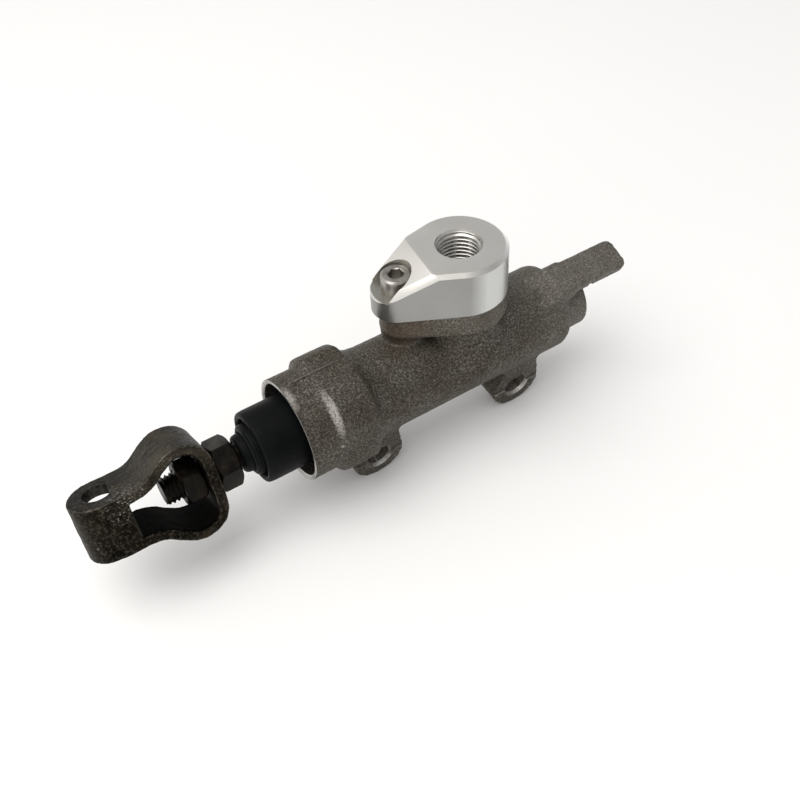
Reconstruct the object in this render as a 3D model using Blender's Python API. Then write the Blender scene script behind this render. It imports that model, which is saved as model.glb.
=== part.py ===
"""A rear brake master cylinder with its reservoir adapter, push rod and clevis, as separate pieces.

Every dimension is in millimetres, and the mesh builders scale it to metres. Shapes are laid out in the
bore's frame: X runs along the bore towards the outlet, from the plane of the rear lug hole, and the
reservoir port points along +Z. The assembly empty lifts that frame, so that the world origin is at the
middle of the underside.
"""

import math

import bmesh
import bpy
from mathutils import Matrix, Vector

MM = 0.001
ROUND = 40  # sides of a large turned face
INNER_ROUND = 28  # sides of a turned piece inside the bore
SMALL_ROUND = 20  # sides of a small hole or pin
GAP = 0.3  # clearance between pieces that rest on each other

# Barrel and boot cup
BORE_R = 7.0
BARREL_R = 13.0
BARREL_START = 4.0
BARREL_END = 67.0
OUTLET_BOSS_R = 10.0
OUTLET_BOSS_END = 74.5
OUTLET_THREAD_R = 4.4
OUTLET_THREAD_START = 66.0
BORE_START = 1.5
BORE_END = 63.0
CUP_MOUTH = -23.0
CUP_R = 15.05
CUP_WALL = 1.25
CUP_FLOOR = -9.0
COLLAR_START = -14.2
COLLAR_END = -2.7
COLLAR_R = 16.9
BOOT_SEAT_R = 11.0
BOOT_SEAT_FLOOR = -5.0
MOUTH_R = 9.0
CIRCLIP_GROOVE = (-1.9, -0.1)
CIRCLIP_GROOVE_R = 9.8

# Mounting lugs: a plate that leans back under the barrel
LUG_PLACES = (0.0, 50.0)
LUG_LEAN = math.radians(10)
LUG_DROP = 17.0  # from the bore's axis to the lug hole, down the plate
LUG_R = 8.0
LUG_FACE = 11.5  # from the bore's axis to the plate's outer face
LUG_THICKNESS = 9.0
LUG_ROOT_HALF = 6.0  # half width where the plate meets the barrel
LUG_HOLE_R = 3.7
LUG_COUNTERSINK_R = 4.4

# Hose stop tab beside the outlet
TAB_END = 89.0
TAB_WIDTH = 10.0
TAB_THICKNESS = 3.0
TAB_OFFSET = 11.2
TAB_TILT = math.radians(23)
TAB_CORNER_R = 2.5

# Reservoir port, its casting flange and the machined adapter
PORT_X = 34.1
PORT_OUTER_R = 13.5
SCREW_ANGLE = math.radians(171)
SCREW_REACH = 18.6  # from the port's axis to the screw's axis
FLANGE_SCREW_REACH = 16.4
SCREW_END_R = 7.2
NECK_R = 11.0
FLANGE_BOTTOM = 16.2
FLANGE_TOP = 22.7
ADAPTER_BOTTOM = 23.0
ADAPTER_TOP = 37.2
SLOPE_START = 12.0
SLOPE_ANGLE = math.radians(28)
POCKET_FLOOR = 28.7
POCKET_R = 5.9
POCKET_REACH = 20.0  # from the port's axis to the middle of the pocket's round end
PORT_THREAD_R = 5.4
PORT_CHAMFER_R = 6.4
SPIGOT_R = 7.2
SPIGOT_BOTTOM = 18.5
WELL_R = 7.5
WELL_BOTTOM = 15.0
FEED_HOLES = ((28.8, 1.6), (39.2, 0.6))  # place along the bore and radius: supply, compensating
SEAL_GROOVE = (8.0, 10.2)
SEAL_GROOVE_DEPTH = 1.6
SEAL_WIRE_R = 0.85

# Adapter screw, M5
SCREW_R = 2.5
SCREW_HEAD_R = 4.25
SCREW_HEAD_HEIGHT = 5.0
SCREW_HEAD_BOTTOM = 29.0
SCREW_TIP = 10.5
SOCKET_ACROSS = 4.0
SOCKET_DEPTH = 2.6

# Push rod and its nuts, M8
ROD_R = 4.0
ROD_END = -60.5
ROD_NECK_R = 3.0
ROD_NECK_START = -12.5  # clear of the stop plate at full stroke
BALL_X = 5.5
BALL_R = 4.2
LOCK_NUT = (-46.2, -39.8)
LOCK_NUT_ACROSS = 13.0
JOINT_NUT = (-55.8, -50.0)
JOINT_NUT_ACROSS = 12.0

# Clevis, a folded steel strap turned about the rod
CLEVIS_TURN = math.radians(-21)
CLEVIS_WIDTH = 16.0
STRAP = 2.9
PIN_X = -75.3
PIN_HOLE_R = 4.0
NOSE_R = 8.0
WEB_END = -70.0
WEB_WRAP = math.radians(138)
ROD_HOLE_R = 4.7
# Half of the strap's middle line, from the nose to the back wall: X, and height above the rod
STRAP_PATH = (
    (-86.0, 6.7), (-78.0, 6.7), (-72.0, 6.6), (-67.0, 6.7), (-63.6, 7.8), (-60.4, 10.0),
    (-56.8, 11.9), (-53.4, 12.1), (-50.2, 10.7), (-48.5, 8.2), (-48.0, 4.8), (-48.0, 0.0),
)

# Stop plate, circlip and piston
STOP_PLATE = (0.1, 1.2)
STOP_PLATE_R = 8.7
STOP_PLATE_HOLE_R = 3.8
CIRCLIP = (-1.6, -0.4)
CIRCLIP_R = (7.6, 9.5)
CIRCLIP_OPENING = math.radians(32)
PISTON_R = 6.9
PISTON_START = 1.6
PISTON_LANDS = ((1.6, 12.0), (16.0, 18.0), (31.0, 33.5))
PISTON_WAIST_R = 4.7
PISTON_NOSE_R = 2.9
PISTON_NOSE_END = 38.8
PISTON_SOCKET_R = 4.6
PRIMARY_CUP = (33.8, 37.8)
SECONDARY_CUP = (12.3, 15.7)
SPRING_SEAT = (38.1, 41.0)
SPRING = (41.2, 62.4)
SPRING_R = 5.1
SPRING_WIRE_R = 0.6
SPRING_TURNS = 8

# Where the bore's frame stands in the world
LENGTH_MIDDLE = (TAB_END + PIN_X - NOSE_R) / 2
LUG_TIP = LUG_DROP + LUG_R
AXIS_HEIGHT = LUG_FACE * math.sin(LUG_LEAN) + LUG_TIP * math.cos(LUG_LEAN)

MATERIALS = {
    # name: colour, roughness, metallic
    "cast_aluminium": ((0.105, 0.095, 0.083), 0.6, 0.7),
    "machined_aluminium": ((0.55, 0.54, 0.52), 0.32, 0.9),
    "screw_steel": ((0.42, 0.41, 0.39), 0.3, 1.0),
    "rubber": ((0.012, 0.013, 0.014), 0.5, 0.0),
    "seal_rubber": ((0.02, 0.02, 0.02), 0.6, 0.0),
    "dark_steel": ((0.045, 0.038, 0.033), 0.5, 0.8),
    "clevis_steel": ((0.11, 0.095, 0.078), 0.5, 0.8),
    "spring_steel": ((0.3, 0.3, 0.3), 0.35, 1.0),
    "anodised_piston": ((0.25, 0.25, 0.27), 0.4, 0.9),
}


def clear_scene():
    for obj in list(bpy.data.objects):
        bpy.data.objects.remove(obj, do_unlink=True)


def make_material(name):
    colour, roughness, metallic = MATERIALS[name]
    material = bpy.data.materials.new(name)
    material.use_nodes = True
    shader = material.node_tree.nodes["Principled BSDF"]
    shader.inputs["Base Color"].default_value = (*colour, 1.0)
    shader.inputs["Roughness"].default_value = roughness
    shader.inputs["Metallic"].default_value = metallic
    return material


def make_assembly():
    empty = bpy.data.objects.new("assembly", None)
    empty.location = (-LENGTH_MIDDLE * MM, 0.0, AXIS_HEIGHT * MM)
    bpy.context.scene.collection.objects.link(empty)
    return empty


def place(name, bm, matrix=Matrix.Identity(4)):
    """An object that holds this closed mesh, its faces turned out, in the bore's frame."""
    bm.transform(Matrix.Scale(MM, 4) @ matrix)
    bmesh.ops.recalc_face_normals(bm, faces=bm.faces)
    if bm.calc_volume(signed=True) < 0:
        bmesh.ops.reverse_faces(bm, faces=bm.faces)
    mesh = bpy.data.meshes.new(name)
    bm.to_mesh(mesh)
    bm.free()
    mesh.shade_smooth()
    mesh.set_sharp_from_angle(angle=math.radians(30))
    obj = bpy.data.objects.new(name, mesh)
    obj.parent = assembly
    bpy.context.scene.collection.objects.link(obj)
    return obj


def finish(obj, material):
    obj.data.materials.append(materials[material])
    return obj


def combine(target, operation, *helpers):
    """Keeps the helpers as wire guides and lets them join or cut the target, all in one step."""
    group = bpy.data.collections.new(f"{target.name}_{operation.lower()}")
    bpy.context.scene.collection.children.link(group)
    for helper in helpers:
        helper.hide_render = True
        helper.display_type = "WIRE"
        bpy.context.scene.collection.objects.unlink(helper)
        group.objects.link(helper)
    modifier = target.modifiers.new(group.name, "BOOLEAN")
    modifier.operation = operation
    modifier.operand_type = "COLLECTION"
    modifier.collection = group
    modifier.use_self = len(helpers) > 1


def arc(centre, radius, start, end, count):
    """Points on a circle, both ends included."""
    step = (end - start) / (count - 1)
    return [
        (centre[0] + radius * math.cos(start + step * i), centre[1] + radius * math.sin(start + step * i))
        for i in range(count)
    ]


def turned(name, profile, sides=ROUND, matrix=Matrix.Identity(4)):
    """A solid turned about X from (x, radius) points. A profile that misses the axis makes a ring."""
    bm = bmesh.new()
    rings = []
    for x, radius in profile:
        if radius == 0:
            rings.append([bm.verts.new((x, 0, 0))])
            continue
        turn = [2 * math.pi * i / sides for i in range(sides)]
        rings.append([bm.verts.new((x, radius * math.sin(a), radius * math.cos(a))) for a in turn])
    pairs = list(zip(rings, rings[1:]))
    if len(rings[0]) > 1:
        pairs.append((rings[-1], rings[0]))
    for near, far in pairs:
        for i in range(sides):
            j = (i + 1) % sides
            corners = [near[i % len(near)], near[j % len(near)], far[j % len(far)], far[i % len(far)]]
            bm.faces.new(list(dict.fromkeys(corners)))
    return place(name, bm, matrix)


def prism(name, outline, low, high, matrix=Matrix.Identity(4)):
    """A solid with this (x, y) outline between two heights."""
    bm = bmesh.new()
    bottom = [bm.verts.new((x, y, low)) for x, y in outline]
    top = [bm.verts.new((x, y, high)) for x, y in outline]
    bm.faces.new(bottom)
    bm.faces.new(top)
    for i in range(len(outline)):
        j = (i + 1) % len(outline)
        bm.faces.new([bottom[i], bottom[j], top[j], top[i]])
    return place(name, bm, matrix)


def upright(x, y=0.0):
    """Stands a shape turned about X on the vertical line through (x, y)."""
    return Matrix.Translation((x, y, 0)) @ Matrix.Rotation(math.radians(-90), 4, "Y")


def hexagon(across):
    return arc((0, 0), across / math.sqrt(3), math.radians(30), math.radians(330), 6)


def along_bore(turn=0.0):
    """Lays a prism's outline across the bore, with its height along X."""
    return Matrix.Rotation(turn, 4, "X") @ Matrix(((0, 0, 1, 0), (1, 0, 0, 0), (0, 1, 0, 0), (0, 0, 0, 1)))


def teardrop(reach):
    """The outline round the port and, this far from it, round the screw."""
    spread = math.acos((PORT_OUTER_R - SCREW_END_R) / reach)
    tip = (PORT_X + reach * math.cos(SCREW_ANGLE), reach * math.sin(SCREW_ANGLE))
    port_side = arc((PORT_X, 0), PORT_OUTER_R, SCREW_ANGLE + spread, SCREW_ANGLE + 2 * math.pi - spread, 34)
    return port_side + arc(tip, SCREW_END_R, SCREW_ANGLE - spread, SCREW_ANGLE + spread, 15)


def screw_axis():
    return (
        PORT_X + SCREW_REACH * math.cos(SCREW_ANGLE),
        SCREW_REACH * math.sin(SCREW_ANGLE),
    )


def lug_matrix(x):
    """Axes of a lug's plate: along the bore, down the plate, and out of its outer face."""
    lean_sin = math.sin(LUG_LEAN)
    lean_cos = math.cos(LUG_LEAN)
    return Matrix((
        (1, 0, 0, x),
        (0, lean_sin, -lean_cos, 0),
        (0, -lean_cos, -lean_sin, 0),
        (0, 0, 0, 1),
    ))


def make_body():
    body = turned("cylinder_body", (
        (CUP_MOUTH, 0), (CUP_MOUTH, CUP_R), (COLLAR_START, CUP_R),
        (COLLAR_START, COLLAR_R - 0.7), (COLLAR_START + 0.7, COLLAR_R), (COLLAR_END - 1, COLLAR_R),
        (COLLAR_END, COLLAR_R - 0.5), (-1.0, 15.2), (BORE_START, 13.8), (BARREL_START, BARREL_R),
        (BARREL_END - 2.5, BARREL_R), (BARREL_END - 0.8, BARREL_R - 0.8), (BARREL_END, BARREL_R - 2.2),
        (BARREL_END, OUTLET_BOSS_R), (OUTLET_BOSS_END - 0.7, OUTLET_BOSS_R),
        (OUTLET_BOSS_END, OUTLET_BOSS_R - 0.7), (OUTLET_BOSS_END, 0),
    ))
    neck = turned("neck", ((5, 0), (5, NECK_R + 3), (10, NECK_R + 1.6), (13, NECK_R),
                           (17.5, NECK_R), (17.5, 0)),
                  matrix=upright(PORT_X))
    flange = prism("flange", teardrop(FLANGE_SCREW_REACH), FLANGE_BOTTOM, FLANGE_TOP)
    screw_x, screw_y = screw_axis()
    boss = turned("screw_boss", ((4, 0), (4, 5.2), (FLANGE_BOTTOM + 1, 6.2), (FLANGE_BOTTOM + 1, 0)),
                  SMALL_ROUND, upright(screw_x + 1.2, screw_y))
    combine(body, "UNION", neck, flange, boss, make_tab(), *(make_lug(x) for x in LUG_PLACES))
    combine(body, "DIFFERENCE", make_bore_cutter(), *make_reservoir_cutters(),
            *(make_lug_hole(x) for x in LUG_PLACES))
    return finish(body, "cast_aluminium")


def make_lug(x):
    shoulder = math.radians(20)
    eye = arc((0, LUG_DROP), LUG_R, -shoulder, math.pi + shoulder, 23)
    outline = [(LUG_ROOT_HALF, 3), *eye, (-LUG_ROOT_HALF, 3)]
    return prism("lug", outline, LUG_FACE - LUG_THICKNESS, LUG_FACE, lug_matrix(x))


def make_lug_hole(x):
    back = LUG_FACE - LUG_THICKNESS - 8
    chamfer = LUG_COUNTERSINK_R - LUG_HOLE_R
    return turned("lug_hole", (
        (back, 0), (back, LUG_HOLE_R), (LUG_FACE - chamfer, LUG_HOLE_R),
        (LUG_FACE, LUG_COUNTERSINK_R), (LUG_FACE + 1, LUG_COUNTERSINK_R), (LUG_FACE + 1, 0),
    ), SMALL_ROUND, lug_matrix(x) @ Matrix.Translation((0, LUG_DROP, 0)) @ upright(0))


def make_tab():
    """The stop for the brake hose: a flat tongue, cast on the barrel, that leans towards the lugs' side."""
    half = TAB_WIDTH / 2
    corner_x = TAB_END - TAB_CORNER_R
    corner_y = half - TAB_CORNER_R
    outline = [
        (BARREL_END - 8, half), (BARREL_END - 8, -half),
        *arc((corner_x, -corner_y), TAB_CORNER_R, -math.pi / 2, 0, 6),
        *arc((corner_x, corner_y), TAB_CORNER_R, 0, math.pi / 2, 6),
    ]
    lean = Matrix.Rotation(TAB_TILT, 4, "X")
    return prism("hose_stop_tab", outline, TAB_OFFSET, TAB_OFFSET + TAB_THICKNESS, lean)


def make_bore_cutter():
    return turned("bore_cutter", (
        (CUP_MOUTH - 1, 0), (CUP_MOUTH - 1, CUP_R - CUP_WALL), (CUP_FLOOR, CUP_R - CUP_WALL),
        (CUP_FLOOR, BOOT_SEAT_R), (BOOT_SEAT_FLOOR, BOOT_SEAT_R), (BOOT_SEAT_FLOOR, MOUTH_R),
        (CIRCLIP_GROOVE[0], MOUTH_R), (CIRCLIP_GROOVE[0], CIRCLIP_GROOVE_R),
        (CIRCLIP_GROOVE[1], CIRCLIP_GROOVE_R), (CIRCLIP_GROOVE[1], MOUTH_R),
        (BORE_START, MOUTH_R), (BORE_START, BORE_R), (BORE_END, BORE_R), (BORE_END, 2.5),
        (OUTLET_THREAD_START - 1.5, 2.5), (OUTLET_THREAD_START, OUTLET_THREAD_R),
        (OUTLET_BOSS_END + 1, OUTLET_THREAD_R), (OUTLET_BOSS_END + 1, 0),
    ))


def make_reservoir_cutters():
    """The well under the adapter, its two holes into the bore, the seal's groove and the screw's hole."""
    well = turned("well_cutter", (
        (WELL_BOTTOM, 0), (WELL_BOTTOM, WELL_R), (FLANGE_TOP + 1, WELL_R), (FLANGE_TOP + 1, 0),
    ), 32, upright(PORT_X))
    feeds = [
        turned("feed_hole", (
            (BORE_R - 3, 0), (BORE_R - 3, radius), (WELL_BOTTOM + 1, radius), (WELL_BOTTOM + 1, 0),
        ), 12, upright(x))
        for x, radius in FEED_HOLES
    ]
    groove_inner, groove_outer = SEAL_GROOVE
    groove_bottom = FLANGE_TOP - SEAL_GROOVE_DEPTH
    groove = turned("seal_groove_cutter", (
        (groove_bottom, groove_inner), (groove_bottom, groove_outer),
        (FLANGE_TOP + 1, groove_outer), (FLANGE_TOP + 1, groove_inner),
    ), ROUND, upright(PORT_X))
    radius = SCREW_R + GAP
    tapping = turned("screw_hole_cutter", (
        (SCREW_TIP - 1, 0), (SCREW_TIP - 0.5, radius), (FLANGE_TOP + 1, radius), (FLANGE_TOP + 1, 0),
    ), SMALL_ROUND, upright(*screw_axis()))
    return [well, *feeds, groove, tapping]


def make_adapter():
    """The teardrop block: level round the port, then falling to a pocket for the screw's head."""
    adapter = prism("reservoir_adapter", teardrop(SCREW_REACH), ADAPTER_BOTTOM, ADAPTER_TOP)
    spigot = turned("adapter_spigot", (
        (SPIGOT_BOTTOM, 0), (SPIGOT_BOTTOM, SPIGOT_R),
        (ADAPTER_BOTTOM + 2, SPIGOT_R), (ADAPTER_BOTTOM + 2, 0),
    ), 32, upright(PORT_X))
    combine(adapter, "UNION", spigot)
    reach = 40.0
    fall = (reach - SLOPE_START) * math.tan(SLOPE_ANGLE)
    towards_screw = Matrix.Translation((PORT_X, 0, 0)) @ Matrix.Rotation(SCREW_ANGLE, 4, "Z")
    wedge = prism("slope_cutter", (
        (SLOPE_START, ADAPTER_TOP), (reach, ADAPTER_TOP - fall), (reach, ADAPTER_TOP + 5),
        (SLOPE_START, ADAPTER_TOP + 5),
    ), -20, 20, towards_screw @ Matrix.Rotation(math.radians(90), 4, "X"))
    screw_x, screw_y = screw_axis()
    round_end = arc((POCKET_REACH, 0), POCKET_R, math.radians(90), math.radians(270), 17)
    pocket = prism("pocket_cutter", [*round_end, (reach, -POCKET_R), (reach, POCKET_R)],
                   POCKET_FLOOR, ADAPTER_TOP + 5, towards_screw)
    port_chamfer = PORT_CHAMFER_R - PORT_THREAD_R
    port = turned("port_cutter", (
        (SPIGOT_BOTTOM - 1, 0), (SPIGOT_BOTTOM - 1, PORT_THREAD_R),
        (ADAPTER_TOP - port_chamfer, PORT_THREAD_R), (ADAPTER_TOP, PORT_CHAMFER_R),
        (ADAPTER_TOP + 1, PORT_CHAMFER_R), (ADAPTER_TOP + 1, 0),
    ), 32, upright(PORT_X))
    radius = SCREW_R + GAP
    hole = turned("adapter_screw_cutter", (
        (ADAPTER_BOTTOM - 1, 0), (ADAPTER_BOTTOM - 1, radius),
        (POCKET_FLOOR + 1, radius), (POCKET_FLOOR + 1, 0),
    ), SMALL_ROUND, upright(screw_x, screw_y))
    combine(adapter, "DIFFERENCE", wedge, pocket, port, hole)
    return finish(adapter, "machined_aluminium")


def make_adapter_screw():
    head_top = SCREW_HEAD_BOTTOM + SCREW_HEAD_HEIGHT
    screw = turned("adapter_screw", (
        (SCREW_TIP, 0), (SCREW_TIP, SCREW_R - 0.6),
        (SCREW_TIP + 0.6, SCREW_R), (SCREW_HEAD_BOTTOM, SCREW_R),
        (SCREW_HEAD_BOTTOM, SCREW_HEAD_R), (head_top - 0.4, SCREW_HEAD_R), (head_top, SCREW_HEAD_R - 0.4),
        (head_top, 0),
    ), SMALL_ROUND, upright(*screw_axis()))
    socket = prism("socket_cutter", hexagon(SOCKET_ACROSS), head_top - SOCKET_DEPTH, head_top + 1,
                   Matrix.Translation((*screw_axis(), 0)))
    combine(screw, "DIFFERENCE", socket)
    return finish(screw, "screw_steel")


def ring_of_wire(name, middle_r, wire_r, height, material):
    """A round seal lying flat about the port's axis."""
    section = arc((height, middle_r), wire_r, 0, 2 * math.pi, 9)[:-1]
    return finish(turned(name, section, 32, upright(PORT_X)), material)


def make_boot():
    """A moulded cap that closes the cup, folded in at its face and gripping the rod with a lip."""
    lip_r = ROD_R + GAP
    outside = [
        (-5.4, 10.7), (-8.6, 10.7), (-9.3, 10.5), (-31.8, 10.45), (-33.4, 10.0), (-34.3, 9.2),
        (-34.2, 8.4), (-33.2, 7.8), (-33.5, 7.25), (-35.4, 7.2), (-36.2, 6.5), (-36.3, 5.5),
        (-37.7, 5.25), (-38.3, 4.8),
    ]
    inside = [
        (-38.3, lip_r), (-35.2, lip_r), (-34.8, 5.9), (-31.6, 6.1), (-31.2, 8.8), (-9.0, 8.9), (-5.4, 8.9),
    ]
    return finish(turned("rubber_boot", outside + inside, 32), "rubber")


def make_pushrod():
    ball_start = math.pi - math.asin(ROD_NECK_R / BALL_R)
    ball = arc((BALL_X, 0), BALL_R, ball_start, 0, 9)[:-1]
    profile = [
        (ROD_END, 0), (ROD_END, ROD_R - 0.8), (ROD_END + 0.8, ROD_R), (ROD_NECK_START - 1, ROD_R),
        (ROD_NECK_START, ROD_NECK_R), *ball, (BALL_X + BALL_R, 0),
    ]
    return finish(turned("pushrod", profile, SMALL_ROUND), "dark_steel")


def make_nut(name, span, across, turn):
    """A hexagon nut on the rod, its corners turned off at both ends."""
    low, high = span
    corner_r = across / math.sqrt(3)
    flat_r = across / 2
    blank = turned(name, (
        (low, ROD_R + GAP), (low, flat_r), (low + 0.7, corner_r + 0.3), (high - 0.7, corner_r + 0.3),
        (high, flat_r), (high, ROD_R + GAP),
    ), 24)
    hexagonal = prism(f"{name}_flats", hexagon(across), low - 1, high + 1, along_bore(turn))
    combine(blank, "INTERSECT", hexagonal)
    return finish(blank, "dark_steel")


def smooth_path(points, steps):
    """Points on a Catmull-Rom curve through these."""
    ends = [points[0], *points, points[-1]]
    path = []
    for a, b, c, d in zip(ends, ends[1:], ends[2:], ends[3:]):
        a, b, c, d = (Vector(p) for p in (a, b, c, d))
        for i in range(steps):
            t = i / steps
            path.append(0.5 * (2 * b + (c - a) * t + (2 * a - 5 * b + 4 * c - d) * t**2
                               + (3 * b - a - 3 * c + d) * t**3))
    return path + [Vector(points[-1])]


def strap_outline():
    """The folded strap seen from the side: its middle line, thickened both ways."""
    upper = smooth_path(STRAP_PATH, 4)
    middle = upper + [Vector((p.x, -p.y)) for p in reversed(upper[:-1])]
    outer = []
    inner = []
    for i, point in enumerate(middle):
        ahead = middle[min(i + 1, len(middle) - 1)] - middle[max(i - 1, 0)]
        normal = Vector((-ahead.y, ahead.x)).normalized() * STRAP / 2
        outer.append(tuple(point + normal))
        inner.append(tuple(point - normal))
    return outer + inner[::-1]


def make_clevis():
    turn = Matrix.Rotation(CLEVIS_TURN, 4, "X")
    side_view = Matrix.Rotation(math.radians(90), 4, "X")
    over = 1.5
    half = CLEVIS_WIDTH / 2
    arm_outer = STRAP_PATH[0][1] + STRAP / 2
    clevis = prism("clevis", strap_outline(), -half - over, half + over, turn @ side_view)
    web_outline = [
        *arc((PIN_X, 0), NOSE_R + over, WEB_WRAP, math.radians(270), 17), (WEB_END, -NOSE_R - over),
        (WEB_END, STRAP - NOSE_R), *arc((PIN_X, 0), NOSE_R - STRAP, math.radians(270), WEB_WRAP, 17),
    ]
    combine(clevis, "UNION", prism("web", web_outline, 1 - arm_outer, arm_outer - 1, turn))
    plan_outline = [
        *arc((PIN_X, 0), NOSE_R, math.radians(90), math.radians(270), 25), (-40, -half), (-40, half),
    ]
    combine(clevis, "INTERSECT", prism("plan", plan_outline, -20, 20, turn))
    pin_hole = turned("pin_hole_cutter", ((-20, 0), (-20, PIN_HOLE_R), (20, PIN_HOLE_R), (20, 0)),
                      SMALL_ROUND, turn @ upright(PIN_X))
    rod_hole = turned("rod_hole_cutter", (
        (-55, 0), (-55, ROD_HOLE_R), (-40, ROD_HOLE_R), (-40, 0),
    ), SMALL_ROUND)
    combine(clevis, "DIFFERENCE", pin_hole, rod_hole)
    return finish(clevis, "clevis_steel")


def make_circlip():
    """An internal snap ring with an eye at each end."""
    inner, outer = CIRCLIP_R
    half = CIRCLIP_OPENING / 2
    down = math.radians(-90)
    outline = [
        *arc((0, 0), outer, down + half, down + 2 * math.pi - half, 28),
        *arc((0, 0), inner - 1.2, down + 2 * math.pi - half, down + 2 * math.pi - 1.7 * half, 3),
        *arc((0, 0), inner, down + 2 * math.pi - 1.9 * half, down + 1.9 * half, 26),
        *arc((0, 0), inner - 1.2, down + 1.7 * half, down + half, 3),
    ]
    return finish(prism("circlip", outline, *CIRCLIP, along_bore()), "spring_steel")


def make_stop_plate():
    low, high = STOP_PLATE
    return finish(turned("stop_plate", (
        (low, STOP_PLATE_HOLE_R), (low, STOP_PLATE_R), (high, STOP_PLATE_R), (high, STOP_PLATE_HOLE_R),
    )), "spring_steel")


def make_piston():
    """Guide land with the ball's socket, two sealing lands, a waist for fluid and a nose for the cup."""
    rear, middle, front = PISTON_LANDS
    socket = arc((BALL_X, 0), PISTON_SOCKET_R, math.pi / 2, 0, 9)[:-1]
    profile = [
        (BALL_X + PISTON_SOCKET_R, 0), *reversed(socket), (PISTON_START, PISTON_SOCKET_R),
        (rear[0], PISTON_R), (rear[1], PISTON_R), (rear[1], PISTON_WAIST_R), (middle[0], PISTON_WAIST_R),
        (middle[0], PISTON_R), (middle[1], PISTON_R), (middle[1] + 1, PISTON_WAIST_R),
        (front[0] - 1, PISTON_WAIST_R), (front[0], PISTON_R), (front[1], PISTON_R),
        (front[1], PISTON_NOSE_R), (PISTON_NOSE_END, PISTON_NOSE_R), (PISTON_NOSE_END, 0),
    ]
    return finish(turned("piston", profile, INNER_ROUND), "anodised_piston")


def make_cup_seal(name, span, hole_r):
    """A rubber cup with its lip towards the pressure."""
    low, high = span
    lip_r = PISTON_R + 0.03
    inner_lip_r = (hole_r + lip_r) / 2
    return finish(turned(name, (
        (low, hole_r), (low, lip_r - 0.5), (low + 0.6, lip_r - 0.2), (high, lip_r), (high, lip_r - 0.7),
        (low + 2, inner_lip_r), (high - 0.4, hole_r + 0.5), (high - 0.4, hole_r),
    ), INNER_ROUND), "seal_rubber")


def make_spring_seat():
    """The pressed cap on the piston's nose that centres the spring."""
    low, high = SPRING_SEAT
    hole_r = PISTON_NOSE_R + GAP
    pilot_r = SPRING_R - SPRING_WIRE_R - GAP
    return finish(turned("spring_seat", (
        (low, hole_r), (low, PISTON_R - 0.6), (high - 1.7, PISTON_R - 0.6), (high - 1.7, pilot_r),
        (high + 1.2, pilot_r - 0.3), (high + 1.2, hole_r),
    ), INNER_ROUND), "spring_steel")


def make_return_spring():
    """A compression spring with its end coils closed up."""
    start, end = SPRING[0] - 1.2, SPRING[1]
    per_turn = 12
    count = SPRING_TURNS * per_turn
    dead = 1.0  # turns at each end that lie flat
    wire = 2 * SPRING_WIRE_R
    dead_rise = 1.1 * wire
    live_rise = end - start - wire - 2 * dead_rise
    bm = bmesh.new()
    rings = []
    for i in range(count + 1):
        turns = i / per_turn
        if turns < dead:
            along = dead_rise * turns / dead
        elif turns > SPRING_TURNS - dead:
            along = dead_rise + live_rise + dead_rise * (turns - SPRING_TURNS + dead) / dead
        else:
            along = dead_rise + live_rise * (turns - dead) / (SPRING_TURNS - 2 * dead)
        angle = 2 * math.pi * turns
        outward = Vector((0, math.sin(angle), math.cos(angle)))
        centre = outward * SPRING_R + Vector((start + SPRING_WIRE_R + along, 0, 0))
        section = arc((0, 0), SPRING_WIRE_R, 0, 2 * math.pi, 6)[:-1]
        rings.append([bm.verts.new(centre + outward * u + Vector((v, 0, 0))) for u, v in section])
    for near, far in zip(rings, rings[1:]):
        for i in range(len(near)):
            j = (i + 1) % len(near)
            bm.faces.new([near[i], near[j], far[j], far[i]])
    bm.faces.new(rings[0])
    bm.faces.new(rings[-1])
    return finish(place("return_spring", bm), "spring_steel")


clear_scene()
materials = {name: make_material(name) for name in MATERIALS}
assembly = make_assembly()
make_body()
make_adapter()
make_adapter_screw()
ring_of_wire("adapter_o_ring", sum(SEAL_GROOVE) / 2, SEAL_WIRE_R, FLANGE_TOP - 0.7, "seal_rubber")
make_boot()
make_pushrod()
make_nut("lock_nut", LOCK_NUT, LOCK_NUT_ACROSS, math.radians(8))
make_nut("joint_nut", JOINT_NUT, JOINT_NUT_ACROSS, math.radians(-21))
make_clevis()
make_circlip()
make_stop_plate()
make_piston()
make_cup_seal("primary_cup", PRIMARY_CUP, PISTON_NOSE_R + GAP)
make_cup_seal("secondary_cup", SECONDARY_CUP, PISTON_WAIST_R + GAP)
make_spring_seat()
make_return_spring()
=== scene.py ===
"""The looks of a rear brake master cylinder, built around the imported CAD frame.

Shapes are laid out in millimetres in the bore's frame, as in the CAD: X runs along the bore towards the
outlet from the plane of the rear lug hole, and +Z points up through the reservoir port. PLACE turns that
frame into the frame's metres.
"""

import math

import bmesh
import bpy
from mathutils import Matrix, Vector


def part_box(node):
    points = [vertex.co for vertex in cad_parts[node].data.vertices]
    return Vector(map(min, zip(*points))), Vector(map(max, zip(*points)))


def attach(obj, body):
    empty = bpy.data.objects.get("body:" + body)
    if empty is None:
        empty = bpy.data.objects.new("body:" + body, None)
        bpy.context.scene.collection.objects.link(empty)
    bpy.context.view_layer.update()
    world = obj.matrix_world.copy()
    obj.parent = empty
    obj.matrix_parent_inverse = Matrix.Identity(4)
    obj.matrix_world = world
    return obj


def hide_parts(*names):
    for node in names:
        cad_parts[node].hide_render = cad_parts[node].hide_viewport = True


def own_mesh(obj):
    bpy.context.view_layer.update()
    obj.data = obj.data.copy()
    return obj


MM = 0.001
ROD_END_X = -60.5  # the rod's free end, which ties the bore's frame to the CAD nodes

# Camera: a 45 mm lens that looks down on the lugs' side from the clevis end
CAMERA_PLACE = (-0.09515, -0.1743, 0.2265)
CAMERA_TARGET = (0.0059, -0.00703, 0.02514)
CAMERA_ROLL = math.radians(-3.38)
LENS = 45
SENSOR = 36

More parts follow.
